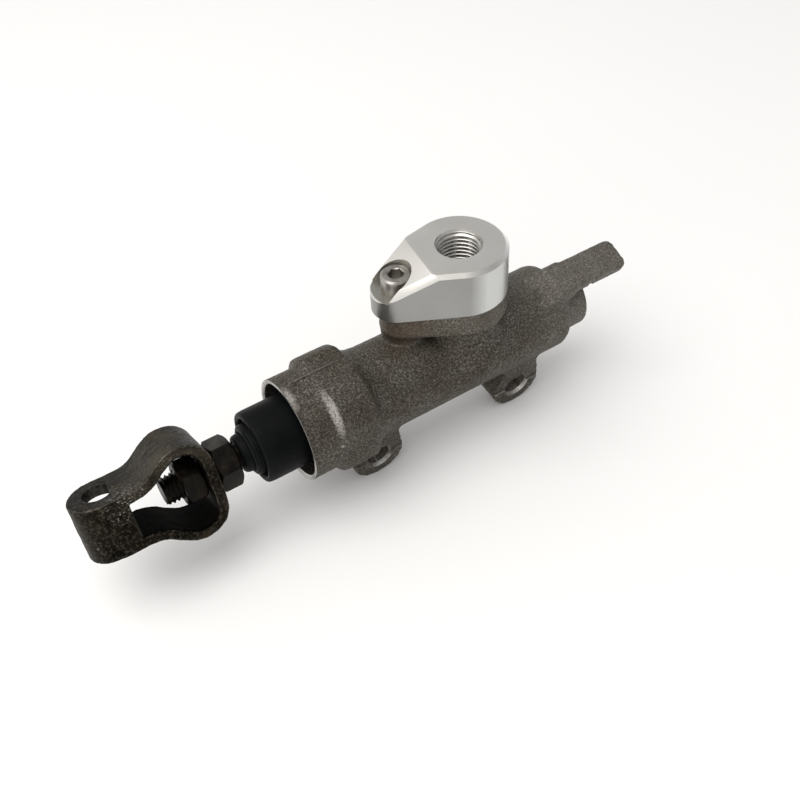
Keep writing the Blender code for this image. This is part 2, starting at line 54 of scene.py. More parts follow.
# Casting
BARREL_R = 13.0
BARREL_END = 67.0
BORE_R = 7.0
CUP_MOUTH = -23.0
CUP_R = 15.05
CUP_INNER_R = 13.75
CUP_FLOOR = -9.0
BOOT_SEAT_R = 11.0
BOOT_SEAT_FLOOR = -5.0
MOUTH_R = 9.0
CIRCLIP_GROOVE = (-1.9, -0.1)
CIRCLIP_GROOVE_R = 9.8
BORE_START = 1.5
BORE_END = 63.0
COLLAR_STEP = -14.1
COLLAR_R = 17.0
COLLAR_FLAT = 15.25  # from the bore's axis to each of the collar's four flats
COLLAR_TURN = math.radians(50)  # from the port towards the lugs' side, to the nearest corner
SEAM_TURN = math.radians(-3)  # from the port to the parting line
BOSS_R = 10.0
BOSS_END = 74.5
OUTLET_THREAD_R = 4.4
OUTLET_THREAD_START = 66.0
LUG_PLACES = (0.0, 50.0)
LUG_LEAN = math.radians(10)
LUG_DROP = 17.0  # from the bore's axis to the lug hole, down the plate
LUG_R = 8.0
LUG_FACE = 11.5  # from the bore's axis to the plate's outer face
LUG_THICKNESS = 9.0
LUG_HOLE_R = 3.7
LUG_COUNTERSINK_R = 4.1
LUG_STEP = 0.6  # depth of the milled step on a lug's face
TAB_END = 89.0
TAB_WIDTH = 10.0
TAB_THICKNESS = 3.0
TAB_OFFSET = 11.2
TAB_TILT = math.radians(23)
TAB_CORNER_R = 2.2

# Reservoir port and adapter
PORT_X = 34.1
PORT_OUTER_R = 13.5
SCREW_ANGLE = math.radians(171)
SCREW_REACH = 18.6  # from the port's axis to the screw's axis
FLANGE_SCREW_REACH = 16.4
SCREW_END_R = 7.2
FLANGE_BOTTOM = 16.2
FLANGE_TOP = 22.7
ADAPTER_BOTTOM = 23.0
ADAPTER_TOP = 37.2
LEVEL_CHAMFER = 1.05
SLOPE_CHAMFER = 1.5
SLOPE_START = 12.0
SLOPE_ANGLE = math.radians(28)
POCKET_FLOOR = 29.0
POCKET_R = 5.5
POCKET_REACH = 20.0  # from the port's axis to the middle of the pocket's round end
PORT_R = 6.0
PORT_CHAMFER_R = 6.5
PORT_PITCH = 1.25
SPIGOT_R = 7.2
SPIGOT_BOTTOM = 18.5
WELL_R = 7.5
WELL_BOTTOM = 15.0
FEED_HOLES = ((28.8, 1.6), (39.2, 0.6))  # place along the bore and radius: supply, compensating
SEAL_GROOVE = (8.0, 10.2)
SEAL_GROOVE_DEPTH = 1.6
SCREW_R = 2.5
SCREW_HEAD_R = 4.25
SCREW_HEAD_TOP = 34.0
SCREW_TIP = 10.5
SOCKET_ACROSS = 4.0
SOCKET_DEPTH = 2.7
GAP = 0.3  # clearance between a screw and its hole

# Rod, nuts, clevis and boot
ROD_R = 4.0
ROD_PITCH = 1.25
ROD_THREAD_END = -14.5
ROD_NECK_START = -12.5
ROD_NECK_R = 3.0
BALL_X = 5.5
BALL_R = 4.2
LOCK_NUT = (-46.3, -39.9)
LOCK_NUT_ACROSS = 13.0
LOCK_NUT_TURN = math.radians(8)
JOINT_NUT = (-55.8, -50.0)
JOINT_NUT_ACROSS = 12.0
CLEVIS_TURN = math.radians(-21)
CLEVIS_WIDTH = 16.0
STRAP = 2.9
PIN_X = -75.3
PIN_HOLE_R = 4.0
NOSE_R = 8.0
WEB_END = -70.0
WEB_WRAP = math.radians(138)
ROD_HOLE_R = 4.7
STRAP_PATH = (
    (-86.0, 6.7), (-78.0, 6.7), (-72.0, 6.6), (-67.0, 6.7), (-63.6, 7.8), (-60.4, 10.0),
    (-56.8, 11.9), (-53.4, 12.1), (-50.2, 10.7), (-48.5, 8.2), (-48.0, 4.8), (-48.0, 0.0),
)
BOOT_START = -5.4
SPRING = (40.0, 62.4)
SPRING_R = 5.1
SPRING_WIRE_R = 0.6
SPRING_TURNS = 8


# ---------------------------------------------------------------- mesh tools


def mesh_object(name, bm, matrix=Matrix.Identity(4), sharp=35):
    """An object that holds this mesh, laid out in millimetres in the bore's frame, its faces turned out."""
    bm.transform(PLACE @ matrix)
    bmesh.ops.recalc_face_normals(bm, faces=bm.faces)
    if bm.calc_volume(signed=True) < 0:
        bmesh.ops.reverse_faces(bm, faces=bm.faces)
    mesh = bpy.data.meshes.new(name)
    bm.to_mesh(mesh)
    bm.free()
    smooth(mesh, sharp)
    obj = bpy.data.objects.new(name, mesh)
    bpy.context.scene.collection.objects.link(obj)
    return obj


def smooth(mesh, sharp):
    mesh.shade_smooth()
    mesh.set_sharp_from_angle(angle=math.radians(sharp))


def arc(centre, radius, start, end, count):
    """Points on a circle, both ends included."""
    step = (end - start) / (count - 1)
    x, y = centre
    turns = [start + step * i for i in range(count)]
    return [(x + radius * math.cos(a), y + radius * math.sin(a)) for a in turns]


def lofted(name, rings, matrix=Matrix.Identity(4), closed=False, sharp=35):
    """A skin over rings of points: a ring of one point closes an end, and closed joins both ends."""
    bm = bmesh.new()
    made = [[bm.verts.new(p) for p in ring] for ring in rings]
    pairs = list(zip(made, made[1:]))
    if closed:
        pairs.append((made[-1], made[0]))
    for one, two in pairs:
        count = max(len(one), len(two))
        for i in range(count):
            j = (i + 1) % count
            corners = [one[i % len(one)], one[j % len(one)], two[j % len(two)], two[i % len(two)]]
            bm.faces.new(list(dict.fromkeys(corners)))
    return mesh_object(name, bm, matrix, sharp)


def turned(name, profile, sides=96, matrix=Matrix.Identity(4), sharp=35):
    """A solid turned about X from (x, radius) points. A profile off the axis is a closed ring."""
    turn = [2 * math.pi * i / sides for i in range(sides)]
    rings = [
        [(x, r * math.sin(a), r * math.cos(a)) for a in turn] if r else [(x, 0, 0)]
        for x, r in profile
    ]
    return lofted(name, rings, matrix, closed=profile[0][1] > 0, sharp=sharp)


def prism(name, outline, low, high, matrix=Matrix.Identity(4)):
    """An outline of (x, y) points, raised from one height to another."""
    bm = bmesh.new()
    bottom = [bm.verts.new((x, y, low)) for x, y in outline]
    top = [bm.verts.new((x, y, high)) for x, y in outline]
    bm.faces.new(bottom)
    bm.faces.new(top)
    for i in range(len(outline)):
        j = (i + 1) % len(outline)
        bm.faces.new([bottom[i], bottom[j], top[j], top[i]])
    return mesh_object(name, bm, matrix)


def rounded(profile, radius, steps=5):
    """An open profile with each inner corner turned into a curve of about this radius."""
    points = [profile[0]]
    for before, corner, after in zip(profile, profile[1:], profile[2:]):
        p, c, n = Vector(before), Vector(corner), Vector(after)
        reach = min(radius, (p - c).length * 0.49, (n - c).length * 0.49)
        start = c + (p - c).normalized() * reach
        end = c + (n - c).normalized() * reach
        for i in range(steps + 1):
            t = i / steps
            points.append(tuple(start * (1 - t) ** 2 + c * 2 * t * (1 - t) + end * t**2))
    return points + [profile[-1]]


def smooth_path(points, steps):
    """Points on a Catmull-Rom curve through these."""
    ends = [points[0], *points, points[-1]]
    path = []
    for a, b, c, d in zip(ends, ends[1:], ends[2:], ends[3:]):
        a, b, c, d = (Vector(p) for p in (a, b, c, d))
        for i in range(steps):
            t = i / steps
            square = (2 * a - 5 * b + 4 * c - d) * t**2
            cube = (3 * b - a - 3 * c + d) * t**3
            path.append(0.5 * (2 * b + (c - a) * t + square + cube))
    return path + [Vector(points[-1])]


def upright(x, y=0.0):
    """Stands a shape turned about X on the vertical line through (x, y)."""
    return Matrix.Translation((x, y, 0)) @ Matrix.Rotation(math.radians(-90), 4, "Y")


def along_bore(turn=0.0):
    """Lays a prism's outline across the bore, with its height along X."""
    swap = Matrix(((0, 0, 1, 0), (1, 0, 0, 0), (0, 1, 0, 0), (0, 0, 0, 1)))
    return Matrix.Rotation(turn, 4, "X") @ swap


def hexagon(across):
    return arc((0, 0), across / math.sqrt(3), math.radians(30), math.radians(330), 6)


def bake_modifiers(obj, sharp=35):
    """Replaces the object's mesh by what its modifiers make of it."""
    bpy.context.view_layer.update()
    graph = bpy.context.evaluated_depsgraph_get()
    mesh = bpy.data.meshes.new_from_object(obj.evaluated_get(graph))
    obj.modifiers.clear()
    obj.data = mesh
    smooth(mesh, sharp)
    return obj


def fused(name, parts, voxel, passes):
    """One skin over all the parts, its edges and inner corners softened as a casting's are."""
    bm = bmesh.new()
    for part in parts:
        bm.from_mesh(part.data)
        bpy.data.objects.remove(part)
    mesh = bpy.data.meshes.new(name)
    bm.to_mesh(mesh)
    bm.free()
    obj = bpy.data.objects.new(name, mesh)
    bpy.context.scene.collection.objects.link(obj)
    remesh = obj.modifiers.new("remesh", "REMESH")
    remesh.mode = "VOXEL"
    remesh.voxel_size = voxel * MM
    soften = obj.modifiers.new("soften", "SMOOTH")
    soften.factor = 0.5
    soften.iterations = passes
    return bake_modifiers(obj)


def roughen(obj, size, height):
    """Moves the skin in and out by smooth noise, this size and height in millimetres."""
    texture = bpy.data.textures.new(f"{obj.name}_grain", "CLOUDS")
    texture.noise_scale = size * MM
    texture.noise_depth = 2
    displace = obj.modifiers.new("grain", "DISPLACE")
    displace.texture = texture
    displace.texture_coords = "LOCAL"
    displace.strength = height * MM
    displace.mid_level = 0.5
    return bake_modifiers(obj)


def cut(obj, cutters, solver="MANIFOLD"):
    """Takes the cutters out of the object, and removes them."""
    for cutter in cutters:
        modifier = obj.modifiers.new("cut", "BOOLEAN")
        modifier.operation = "DIFFERENCE"
        modifier.solver = solver
        modifier.object = cutter
    bake_modifiers(obj)
    for cutter in cutters:
        bpy.data.objects.remove(cutter)
    return obj


def bevel(obj, width, sharp=35):
    modifier = obj.modifiers.new("bevel", "BEVEL")
    modifier.width = width * MM
    modifier.segments = 2
    modifier.limit_method = "ANGLE"
    modifier.angle_limit = math.radians(25)
    return bake_modifiers(obj, sharp)


def round_point(x, radius, turn):
    """A point at this place along the axis, this far from it, and this part of a turn about it."""
    return x, radius * math.sin(2 * math.pi * turn), radius * math.cos(2 * math.pi * turn)


def thread_radius(along, turn, pitch, crest, root):
    """Radius on a right-hand thread's surface at this place along the axis and this turn about it."""
    phase = (along / pitch - turn) % 1.0
    depth = min(1.0, abs(2 * phase - 1) * 1.35)
    return crest + (root - crest) * depth


def painted(obj, *materials):
    """Gives the object these material slots."""
    obj.data.materials.clear()
    for material in materials:
        obj.data.materials.append(material)
    return obj


def mark_faces(obj, index, inside):
    """Gives this material slot to every face whose middle, in the bore's millimetres, passes the test."""
    back = PLACE.inverted()
    for face in obj.data.polygons:
        if inside(back @ face.center, face.normal):
            face.material_index = index


# ---------------------------------------------------------------- materials


def add(tree, kind, inputs=None, **settings):
    """A shader node with these inputs, each a value or another node's output."""
    node = tree.nodes.new(f"ShaderNode{kind}")
    for key, value in settings.items():
        setattr(node, key, value)
    for key, value in (inputs or {}).items():
        if isinstance(value, bpy.types.NodeSocket):
            tree.links.new(value, node.inputs[key])
        else:
            node.inputs[key].default_value = value
    return node


def start_material(name):
    material = bpy.data.materials.new(name)
    material.use_nodes = True
    tree = material.node_tree
    return material, tree, tree.nodes["Principled BSDF"], add(tree, "TexCoord").outputs["Object"]


def noise(tree, place, scale, detail=4.0, rough=0.55, stretch=(1, 1, 1)):
    """Noise whose features are about 1000 / scale millimetres across."""
    mapped = add(tree, "Mapping", {"Vector": place, "Scale": stretch}).outputs["Vector"]
    return add(tree, "TexNoise", {
        "Vector": mapped, "Scale": scale, "Detail": detail, "Roughness": rough,
    }).outputs["Fac"]


def ramp(tree, value, *stops):
    """A colour ramp from (place, colour or grey) stops."""
    node = add(tree, "ValToRGB", {"Fac": value})
    elements = node.color_ramp.elements
    while len(elements) < len(stops):
        elements.new(0.5)
    for element, (place, tone) in zip(elements, stops):
        element.position = place
        element.color = (*tone, 1) if isinstance(tone, tuple) else (tone, tone, tone, 1)
    return node.outputs["Color"]


def mix(tree, share, a, b, blend="MIX"):
    node = add(tree, "Mix", {"Factor": share}, data_type="RGBA", blend_type=blend)
    for socket, value in ((node.inputs[6], a), (node.inputs[7], b)):
        if isinstance(value, bpy.types.NodeSocket):
            tree.links.new(value, socket)
        else:
            socket.default_value = (*value, 1)
    return node.outputs[2]


def bump(tree, height, strength, distance, normal=None):
    """A bump of this height in millimetres, on top of another bump's normal."""
    inputs = {"Height": height, "Strength": strength, "Distance": distance * MM}
    if normal:
        inputs["Normal"] = normal
    return add(tree, "Bump", inputs).outputs["Normal"]


def edges(tree, low, high):
    """1 on the mesh's outer edges, 0 on its flats."""
    point = add(tree, "NewGeometry").outputs["Pointiness"]
    return ramp(tree, point, (low, 0.0), (high, 1.0))


def near(tree, place, point, radius, stretch=(1, 1, 1), core=0.3):
    """1 about a point of the bore's frame, given in millimetres, falling to 0 at this many millimetres."""
    spot = PLACE @ Vector(point)
    moved = add(tree, "VectorMath", {0: place, 1: tuple(spot)}, operation="SUBTRACT").outputs["Vector"]
    shaped = add(tree, "VectorMath", {0: moved, 1: stretch}, operation="MULTIPLY").outputs["Vector"]
    distance = add(tree, "VectorMath", {0: shaped}, operation="LENGTH").outputs["Value"]
    return between(tree, distance, radius * MM, core * radius * MM)


def between(tree, value, start, end):
    """0 up to the start, and from there an even rise to 1 at the end."""
    return add(tree, "MapRange", {
        "Value": value, "From Min": start, "From Max": end, "To Min": 0.0, "To Max": 1.0,
    }).outputs["Result"]


def rise(tree, place, start, end):
    """The same between two heights of the bore's frame, in millimetres."""
    height = add(tree, "SeparateXYZ", {"Vector": place}).outputs["Z"]
    return between(tree, height, (PLACE @ Vector((0, 0, start))).z, (PLACE @ Vector((0, 0, end))).z)


def times(tree, a, b):
    return add(tree, "Math", {0: a, 1: b}, operation="MULTIPLY").outputs["Value"]


def opposite(tree, value):
    """0 where the value is 1, and 1 where it is 0."""
    return add(tree, "Math", {0: 1.0, 1: value}, operation="SUBTRACT").outputs["Value"]


def dot(tree, a, b):
    return add(tree, "VectorMath", {0: a, 1: b}, operation="DOT_PRODUCT").outputs["Value"]


def off_bore(tree, place):
    """The place measured from the origin of the bore's frame, in metres."""
    origin = tuple(PLACE.translation)
    return add(tree, "VectorMath", {0: place, 1: origin}, operation="SUBTRACT").outputs["Vector"]


def wire(tree, shader, **sockets):
    for name, value in sockets.items():
        key = name.replace("_", " ")
        if isinstance(value, bpy.types.NodeSocket):
            tree.links.new(value, shader.inputs[key])
        else:
            shader.inputs[key].default_value = value


def cast_material():
    """Sand-cast aluminium gone brown-grey and fine-grained, lighter towards the outlet end, rubbed bright
    on its proud edges and the cup's rim, with a painted highlight on the collar's step and the flange's
    side, and a painted shadow under the flange.
    """
    material, tree, shader, place = start_material("cast_aluminium")
    grain = noise(tree, place, 1900, 6, 0.7)
    blotch = noise(tree, place, 90, 5, 0.6)
    tone = ramp(tree, grain, (0.32, (0.016, 0.014, 0.011)), (0.50, (0.068, 0.062, 0.053)),
                (0.70, (0.235, 0.222, 0.200)))
    stain = ramp(tree, blotch, (0.36, (0.70, 0.63, 0.53)), (0.64, (1.10, 1.08, 1.05)))
    tone = mix(tree, 0.85, tone, stain, "MULTIPLY")
    # lighter towards the outlet end and the tab
    lighter_end = near(tree, place, (80.0, -4.0, 13.0), 38.0, core=0.35)
    lightened_tone = mix(tree, 1.0, tone, (0.10, 0.097, 0.09), "ADD")
    tone = mix(tree, times(tree, lighter_end, 0.55), tone, lightened_tone)
    flange = rise(tree, place, FLANGE_BOTTOM - 0.2, FLANGE_BOTTOM + 0.3)
    # painted shadow: a dark band under the flange's lower edge
    under = times(tree, rise(tree, place, FLANGE_BOTTOM - 2.6, FLANGE_BOTTOM - 0.2), opposite(tree, flange))
    under = times(tree, under, near(tree, place, (20.0, -8.0, 15.0), 20.0, core=0.6))
    tone = mix(tree, times(tree, under, 0.75), tone, (0.010, 0.009, 0.007))
    # painted highlight: the flange's side lightened
    flange_highlight = mix(tree, 1.0, tone, (0.10, 0.092, 0.075), "ADD")
    tone = mix(tree, times(tree, flange, 0.3), tone, flange_highlight)
    by_screw = near(tree, place, (13.0, -3.0, 19.5), 9.0)
    rust = times(tree, by_screw, ramp(tree, blotch, (0.35, 0.15), (0.65, 0.6)))
    tone = mix(tree, rust, tone, (0.115, 0.068, 0.042))
    off_seam = dot(tree, off_bore(tree, place), (0, math.cos(SEAM_TURN), math.sin(SEAM_TURN)))
    off_seam = add(tree, "Math", {0: off_seam}, operation="ABSOLUTE").outputs["Value"]
    seam = between(tree, off_seam, 0.32 * MM, 0.12 * MM)
    seam = times(tree, seam, near(tree, place, (-12.0, 0.8, 16.0), 10.5))
    tone = mix(tree, times(tree, seam, 0.6), tone, (0.20, 0.19, 0.165))
    # painted highlight on the collar's step, joined with wear on the cup's rim and on the proud edges
    step = near(tree, place, (COLLAR_STEP, -11.4, 10.6), 8.0, (6.5, 1, 1))
    rim = near(tree, place, (CUP_MOUTH + 0.6, -3.0, 14.7), 5.0, (3.0, 1, 1))
    wear_and_highlight = mix(tree, 1.0, times(tree, step, 0.85), times(tree, rim, 0.6), "LIGHTEN")
    wear_and_highlight = mix(tree, 1.0, wear_and_highlight, times(tree, edges(tree, 0.53, 0.60), 0.5), "LIGHTEN")
    wear_and_highlight = times(tree, wear_and_highlight, ramp(tree, grain, (0.36, 0.25), (0.56, 1.0)))
    tone = mix(tree, wear_and_highlight, tone, (0.52, 0.50, 0.47))
    pits = noise(tree, place, 800, 3, 0.5)
    normal = bump(tree, grain, 0.6, 0.09, bump(tree, pits, 0.5, 0.15, bump(tree, seam, 0.8, 0.3)))
    wire(tree, shader, Base_Color=tone, Metallic=0.45, Normal=normal,
         Roughness=ramp(tree, grain, (0.3, 0.66), (0.7, 0.45)))
    shader.inputs["Specular IOR Level"].default_value = 0.25
    return material


def cut_material():
    """The casting where a tool has cut it: bright, with turning marks."""
    material, tree, shader, place = start_material("turned_casting")
    rings = noise(tree, place, 900, 3, 0.6, (6, 1, 1))
    dirt = noise(tree, place, 220, 4, 0.6)
    tone = mix(tree, ramp(tree, dirt, (0.42, 0.0), (0.68, 1.0)), (0.50, 0.49, 0.47), (0.20, 0.185, 0.165))
    wire(tree, shader, Base_Color=tone, Metallic=0.6, Normal=bump(tree, rings, 0.25, 0.03),
         Roughness=ramp(tree, dirt, (0.3, 0.28), (0.7, 0.45)))
    return material


def machined_material():
    """Milled aluminium, satin, with faint tool lines; painted shading on its sides, darker facing away from
    the outlet, a painted highlight on faces that lean up towards the outlet, and painted shade on the
    pocket's floor.
    """
    material, tree, shader, place = start_material("machined_aluminium")
    lines = noise(tree, place, 260, 3, 0.5, (1, 14, 1))
    speck = noise(tree, place, 2600, 2, 0.5)
    haze = noise(tree, place, 45, 3, 0.5)
    tone = ramp(tree, haze, (0.35, (0.64, 0.625, 0.595)), (0.65, (0.72, 0.705, 0.675)))
    facing = add(tree, "SeparateXYZ", {"Vector": add(tree, "TexCoord").outputs["Normal"]}).outputs
    steep = ramp(tree, facing["Z"], (0.15, 1.0), (0.45, 0.0))
    towards_outlet = add(tree, "Math", {0: facing["X"], 1: 1.0}, operation="ADD").outputs["Value"]
    # painted shading on the sides: darker the more they face away from the outlet, lighter facing it
    side_shading = ramp(tree, towards_outlet, (0.20, (0.44, 0.445, 0.45)), (0.62, (0.47, 0.48, 0.49)),
                       (0.98, (0.90, 0.93, 0.95)))
    slot_end = (PORT_X + POCKET_REACH * math.cos(SCREW_ANGLE), POCKET_REACH * math.sin(SCREW_ANGLE), 0)
    # the pocket's walls are kept out of the painted side shading
    in_pocket = times(tree, near(tree, place, slot_end, 6.4, (1, 1, 0), 0.95),
                      rise(tree, place, POCKET_FLOOR + 0.04, POCKET_FLOOR + 0.05))
    sides = mix(tree, 1.0, tone, side_shading, "MULTIPLY")
    tone = mix(tree, times(tree, steep, opposite(tree, in_pocket)), tone, sides)
    # painted highlight on faces that lean up towards the outlet
    facing_highlight = times(tree, ramp(tree, facing["Z"], (0.50, 0.0), (0.56, 1.0), (0.84, 1.0), (0.90, 0.0)),
                    ramp(tree, facing["X"], (0.10, 0.0), (0.55, 1.0)))
    tone = mix(tree, facing_highlight, tone, (1.0, 1.0, 0.98))
    # painted shade on the pocket's floor
    low = rise(tree, place, POCKET_FLOOR + 0.4, POCKET_FLOOR + 0.1)
    level = ramp(tree, facing["Z"], (0.80, 0.0), (0.95, 1.0))
    tone = mix(tree, times(tree, low, level), tone, (0.36, 0.35, 0.325))
    normal = bump(tree, speck, 0.25, 0.02, bump(tree, lines, 0.12, 0.02))
    wire(tree, shader, Base_Color=tone, Metallic=1.0, Normal=normal,
         Roughness=ramp(tree, speck, (0.35, 0.30), (0.65, 0.40)))
    return material


def thread_material():
    material, tree, shader, place = start_material("cut_thread")
    haze = noise(tree, place, 400, 3, 0.5)
    tone = ramp(tree, haze, (0.35, (0.42, 0.41, 0.39)), (0.65, (0.54, 0.53, 0.51)))
    wire(tree, shader, Base_Color=tone, Metallic=1.0, Normal=bump(tree, haze, 0.2, 0.02), Roughness=0.3)
    return material


def screw_material():
    """A stainless screw, dull from handling, with scratches on its head."""
    material, tree, shader, place = start_material("screw_steel")
    haze = noise(tree, place, 300, 5, 0.6)
    scratch = noise(tree, place, 500, 3, 0.6, (1, 7, 1))
    tone = ramp(tree, haze, (0.34, (0.20, 0.185, 0.16)), (0.6, (0.40, 0.385, 0.36)))
    wire(tree, shader, Base_Color=tone, Metallic=1.0, Normal=bump(tree, scratch, 0.25, 0.02),
         Roughness=ramp(tree, haze, (0.3, 0.42), (0.7, 0.28)))
    return material


def rubber_material():
    """Satin moulded rubber with a dusty bloom and a painted highlight along its edges."""
    material, tree, shader, place = start_material("boot_rubber")
    bloom = noise(tree, place, 120, 5, 0.6)
    fine = noise(tree, place, 1800, 3, 0.6)
    tone = ramp(tree, bloom, (0.35, (0.0020, 0.0024, 0.0028)), (0.7, (0.005, 0.0055, 0.006)))
    # painted highlight along the edges
    tone = mix(tree, times(tree, edges(tree, 0.52, 0.60), 0.7), tone, (0.05, 0.052, 0.055))
    wire(tree, shader, Base_Color=tone, Normal=bump(tree, fine, 0.2, 0.03),
         Roughness=ramp(tree, bloom, (0.3, 0.38), (0.7, 0.52)))
    shader.inputs["Specular IOR Level"].default_value = 0.06
    return material


def seal_material():
    material, tree, shader, place = start_material("seal_rubber")
    bloom = noise(tree, place, 300, 4, 0.6)
    tone = ramp(tree, bloom, (0.35, (0.012, 0.012, 0.012)), (0.7, (0.03, 0.03, 0.03)))
    wire(tree, shader, Base_Color=tone, Normal=bump(tree, bloom, 0.15, 0.03), Roughness=0.5)
    return material


def dark_steel_material():
    """Blackened steel under old oil, rusty brown in patches and bare on its corners."""
    material, tree, shader, place = start_material("dark_steel")
    rust = noise(tree, place, 260, 6, 0.62)
    fine = noise(tree, place, 1500, 4, 0.6)
    tone = ramp(tree, rust, (0.36, (0.0045, 0.004, 0.0035)), (0.55, (0.011, 0.009, 0.0065)),
                (0.72, (0.032, 0.022, 0.014)))
    tone = mix(tree, times(tree, edges(tree, 0.54, 0.62), 0.6), tone, (0.07, 0.064, 0.056))
    normal = bump(tree, fine, 0.4, 0.05, bump(tree, rust, 0.3, 0.1))
    wire(tree, shader, Base_Color=tone, Metallic=0.7, Normal=normal,
         Roughness=ramp(tree, rust, (0.3, 0.34), (0.7, 0.62)))
    shader.inputs["Specular IOR Level"].default_value = 0.2
    return material


def clevis_material():
    """Stamped steel, brown-grey and oily: painted shade on its arms' inner faces, lighter about its hump,
    nicked by its web.
    """
    material, tree, shader, place = start_material("clevis_steel")
    blotch = noise(tree, place, 130, 6, 0.62)
    fine = noise(tree, place, 1300, 5, 0.65)
    scars = noise(tree, place, 420, 3, 0.7, (1, 1, 3))
    oily = ramp(tree, blotch, (0.36, (0.0030, 0.0025, 0.0018)), (0.54, (0.012, 0.0098, 0.0068)),
                (0.72, (0.046, 0.037, 0.026)))
    bare = ramp(tree, blotch, (0.36, (0.011, 0.0092, 0.0065)), (0.64, (0.068, 0.058, 0.043)))
    # lighter about the hump
    hump = near(tree, place, (-61.0, -1.0, 12.0), 15.0)
    tone = mix(tree, hump, oily, bare)
    tone = mix(tree, ramp(tree, fine, (0.50, 0.0), (0.74, 0.6)), tone, (0.12, 0.105, 0.082))
    # painted shade: the arms' inner faces turned near black and fully rough
    across = (0.0, -math.sin(CLEVIS_TURN), math.cos(CLEVIS_TURN))
    arm_side = dot(tree, off_bore(tree, place), across)
    outward = dot(tree, add(tree, "TexCoord").outputs["Normal"], across)
    inner = times(tree, between(tree, times(tree, arm_side, outward), -1.0 * MM, -4.0 * MM), 0.97)
    worn = times(tree, edges(tree, 0.52, 0.60), ramp(tree, blotch, (0.42, 0.1), (0.60, 0.9)))
    by_web = near(tree, place, (-70.5, -5.5, 9.5), 7.5)
    on_hump = near(tree, place, (-58, -4.5, 14.5), 3.0)
    marks = ramp(tree, noise(tree, place, 1300, 4, 0.7, (1, 2.5, 1)), (0.56, 0.0), (0.61, 1.0))
    nicks = times(tree, mix(tree, 1.0, by_web, on_hump, "LIGHTEN"), marks)
    shiny = mix(tree, 1.0, ramp(tree, scars, (0.72, 0.0), (0.78, 0.5)), worn, "LIGHTEN")
    shiny = mix(tree, 1.0, shiny, nicks, "LIGHTEN")
    tone = mix(tree, shiny, tone, (0.36, 0.34, 0.30))
    # painted shade on the arms' inner faces
    tone = mix(tree, inner, tone, (0.002, 0.0018, 0.0015))
    normal = bump(tree, fine, 0.45, 0.06, bump(tree, scars, 0.35, 0.10, bump(tree, nicks, 0.6, 0.15)))
    satin = ramp(tree, blotch, (0.3, 0.40), (0.7, 0.58))
    wire(tree, shader, Base_Color=tone, Metallic=0.75, Normal=normal,
         Roughness=mix(tree, inner, satin, (0.95, 0.95, 0.95)))
    shader.inputs["Specular IOR Level"].default_value = 0.05
    return material


def spring_material():
    material, tree, shader, place = start_material("spring_steel")
    haze = noise(tree, place, 500, 4, 0.6)
    tone = ramp(tree, haze, (0.35, (0.33, 0.33, 0.33)), (0.65, (0.52, 0.52, 0.52)))
    wire(tree, shader, Base_Color=tone, Metallic=1.0, Normal=bump(tree, haze, 0.15, 0.02), Roughness=0.3)
    return material


def piston_material():
    material, tree, shader, place = start_material("piston_aluminium")
    rings = noise(tree, place, 1100, 3, 0.6, (5, 1, 1))
    tone = ramp(tree, rings, (0.35, (0.32, 0.32, 0.34)), (0.65, (0.50, 0.50, 0.52)))
    wire(tree, shader, Base_Color=tone, Metallic=0.9, Normal=bump(tree, rings, 0.2, 0.02), Roughness=0.35)
    return material


# ---------------------------------------------------------------- casting


def collar_section(angle):
    """How far the collar stands out at this angle: a circle with four flats."""
    turn = (angle - COLLAR_TURN + math.pi / 4) % (math.pi / 2) - math.pi / 4
    return min(COLLAR_R, COLLAR_FLAT / math.cos(math.pi / 4 - abs(turn)))


def make_barrel():
    """The turned trunk of the casting, from the cup's mouth to the outlet boss."""
    # X, radius of the round trunk, and how much of the collar shows
    stations = (
        (CUP_MOUTH - 0.8, CUP_R, 0), (-15.2, CUP_R, 0), (-14.6, CUP_R, 0.15), (-13.6, CUP_R, 0.95),
        (-13.0, CUP_R, 1), (-3.6, CUP_R, 1), (-2.7, CUP_R - 0.2, 0.85), (-1.9, 14.3, 0.4),
        (-0.9, 13.8, 0.12), (1.0, 13.35, 0), (4.0, BARREL_R, 0), (BARREL_END - 2.4, BARREL_R, 0),
        (BARREL_END - 0.9, BARREL_R - 0.7, 0), (BARREL_END, BARREL_R - 2.0, 0), (BARREL_END, BOSS_R, 0),
        (BOSS_END + 0.8, BOSS_R - 0.15, 0),
    )
    sides = 120
    rings = [[(stations[0][0], 0, 0)]]
    for x, radius, collar in stations:
        ring = []
        for i in range(sides):
            angle = 2 * math.pi * i / sides
            reach = radius + collar * (collar_section(angle) - CUP_R)
            ring.append((x, -reach * math.sin(angle), reach * math.cos(angle)))
        rings.append(ring)
    return lofted("barrel", rings + [[(stations[-1][0], 0, 0)]])


def teardrop(reach):
    """The outline round the port and, this far from it, round the screw."""
    spread = math.acos((PORT_OUTER_R - SCREW_END_R) / reach)
    tip = (PORT_X + reach * math.cos(SCREW_ANGLE), reach * math.sin(SCREW_ANGLE))
    far_side = SCREW_ANGLE + 2 * math.pi - spread
    port_side = arc((PORT_X, 0), PORT_OUTER_R, SCREW_ANGLE + spread, far_side, 72)
    return port_side + arc(tip, SCREW_END_R, SCREW_ANGLE - spread, SCREW_ANGLE + spread, 27)


def screw_axis():
    return (
        PORT_X + SCREW_REACH * math.cos(SCREW_ANGLE),
        SCREW_REACH * math.sin(SCREW_ANGLE),
    )


def lug_matrix(x):
    """Axes of a lug's plate: along the bore, down the plate, and out of its outer face."""
    lean_sin = math.sin(LUG_LEAN)
    lean_cos = math.cos(LUG_LEAN)
    return Matrix((
        (1, 0, 0, x),
        (0, lean_sin, -lean_cos, 0),
        (0, -lean_cos, -lean_sin, 0),
        (0, 0, 0, 1),
    ))


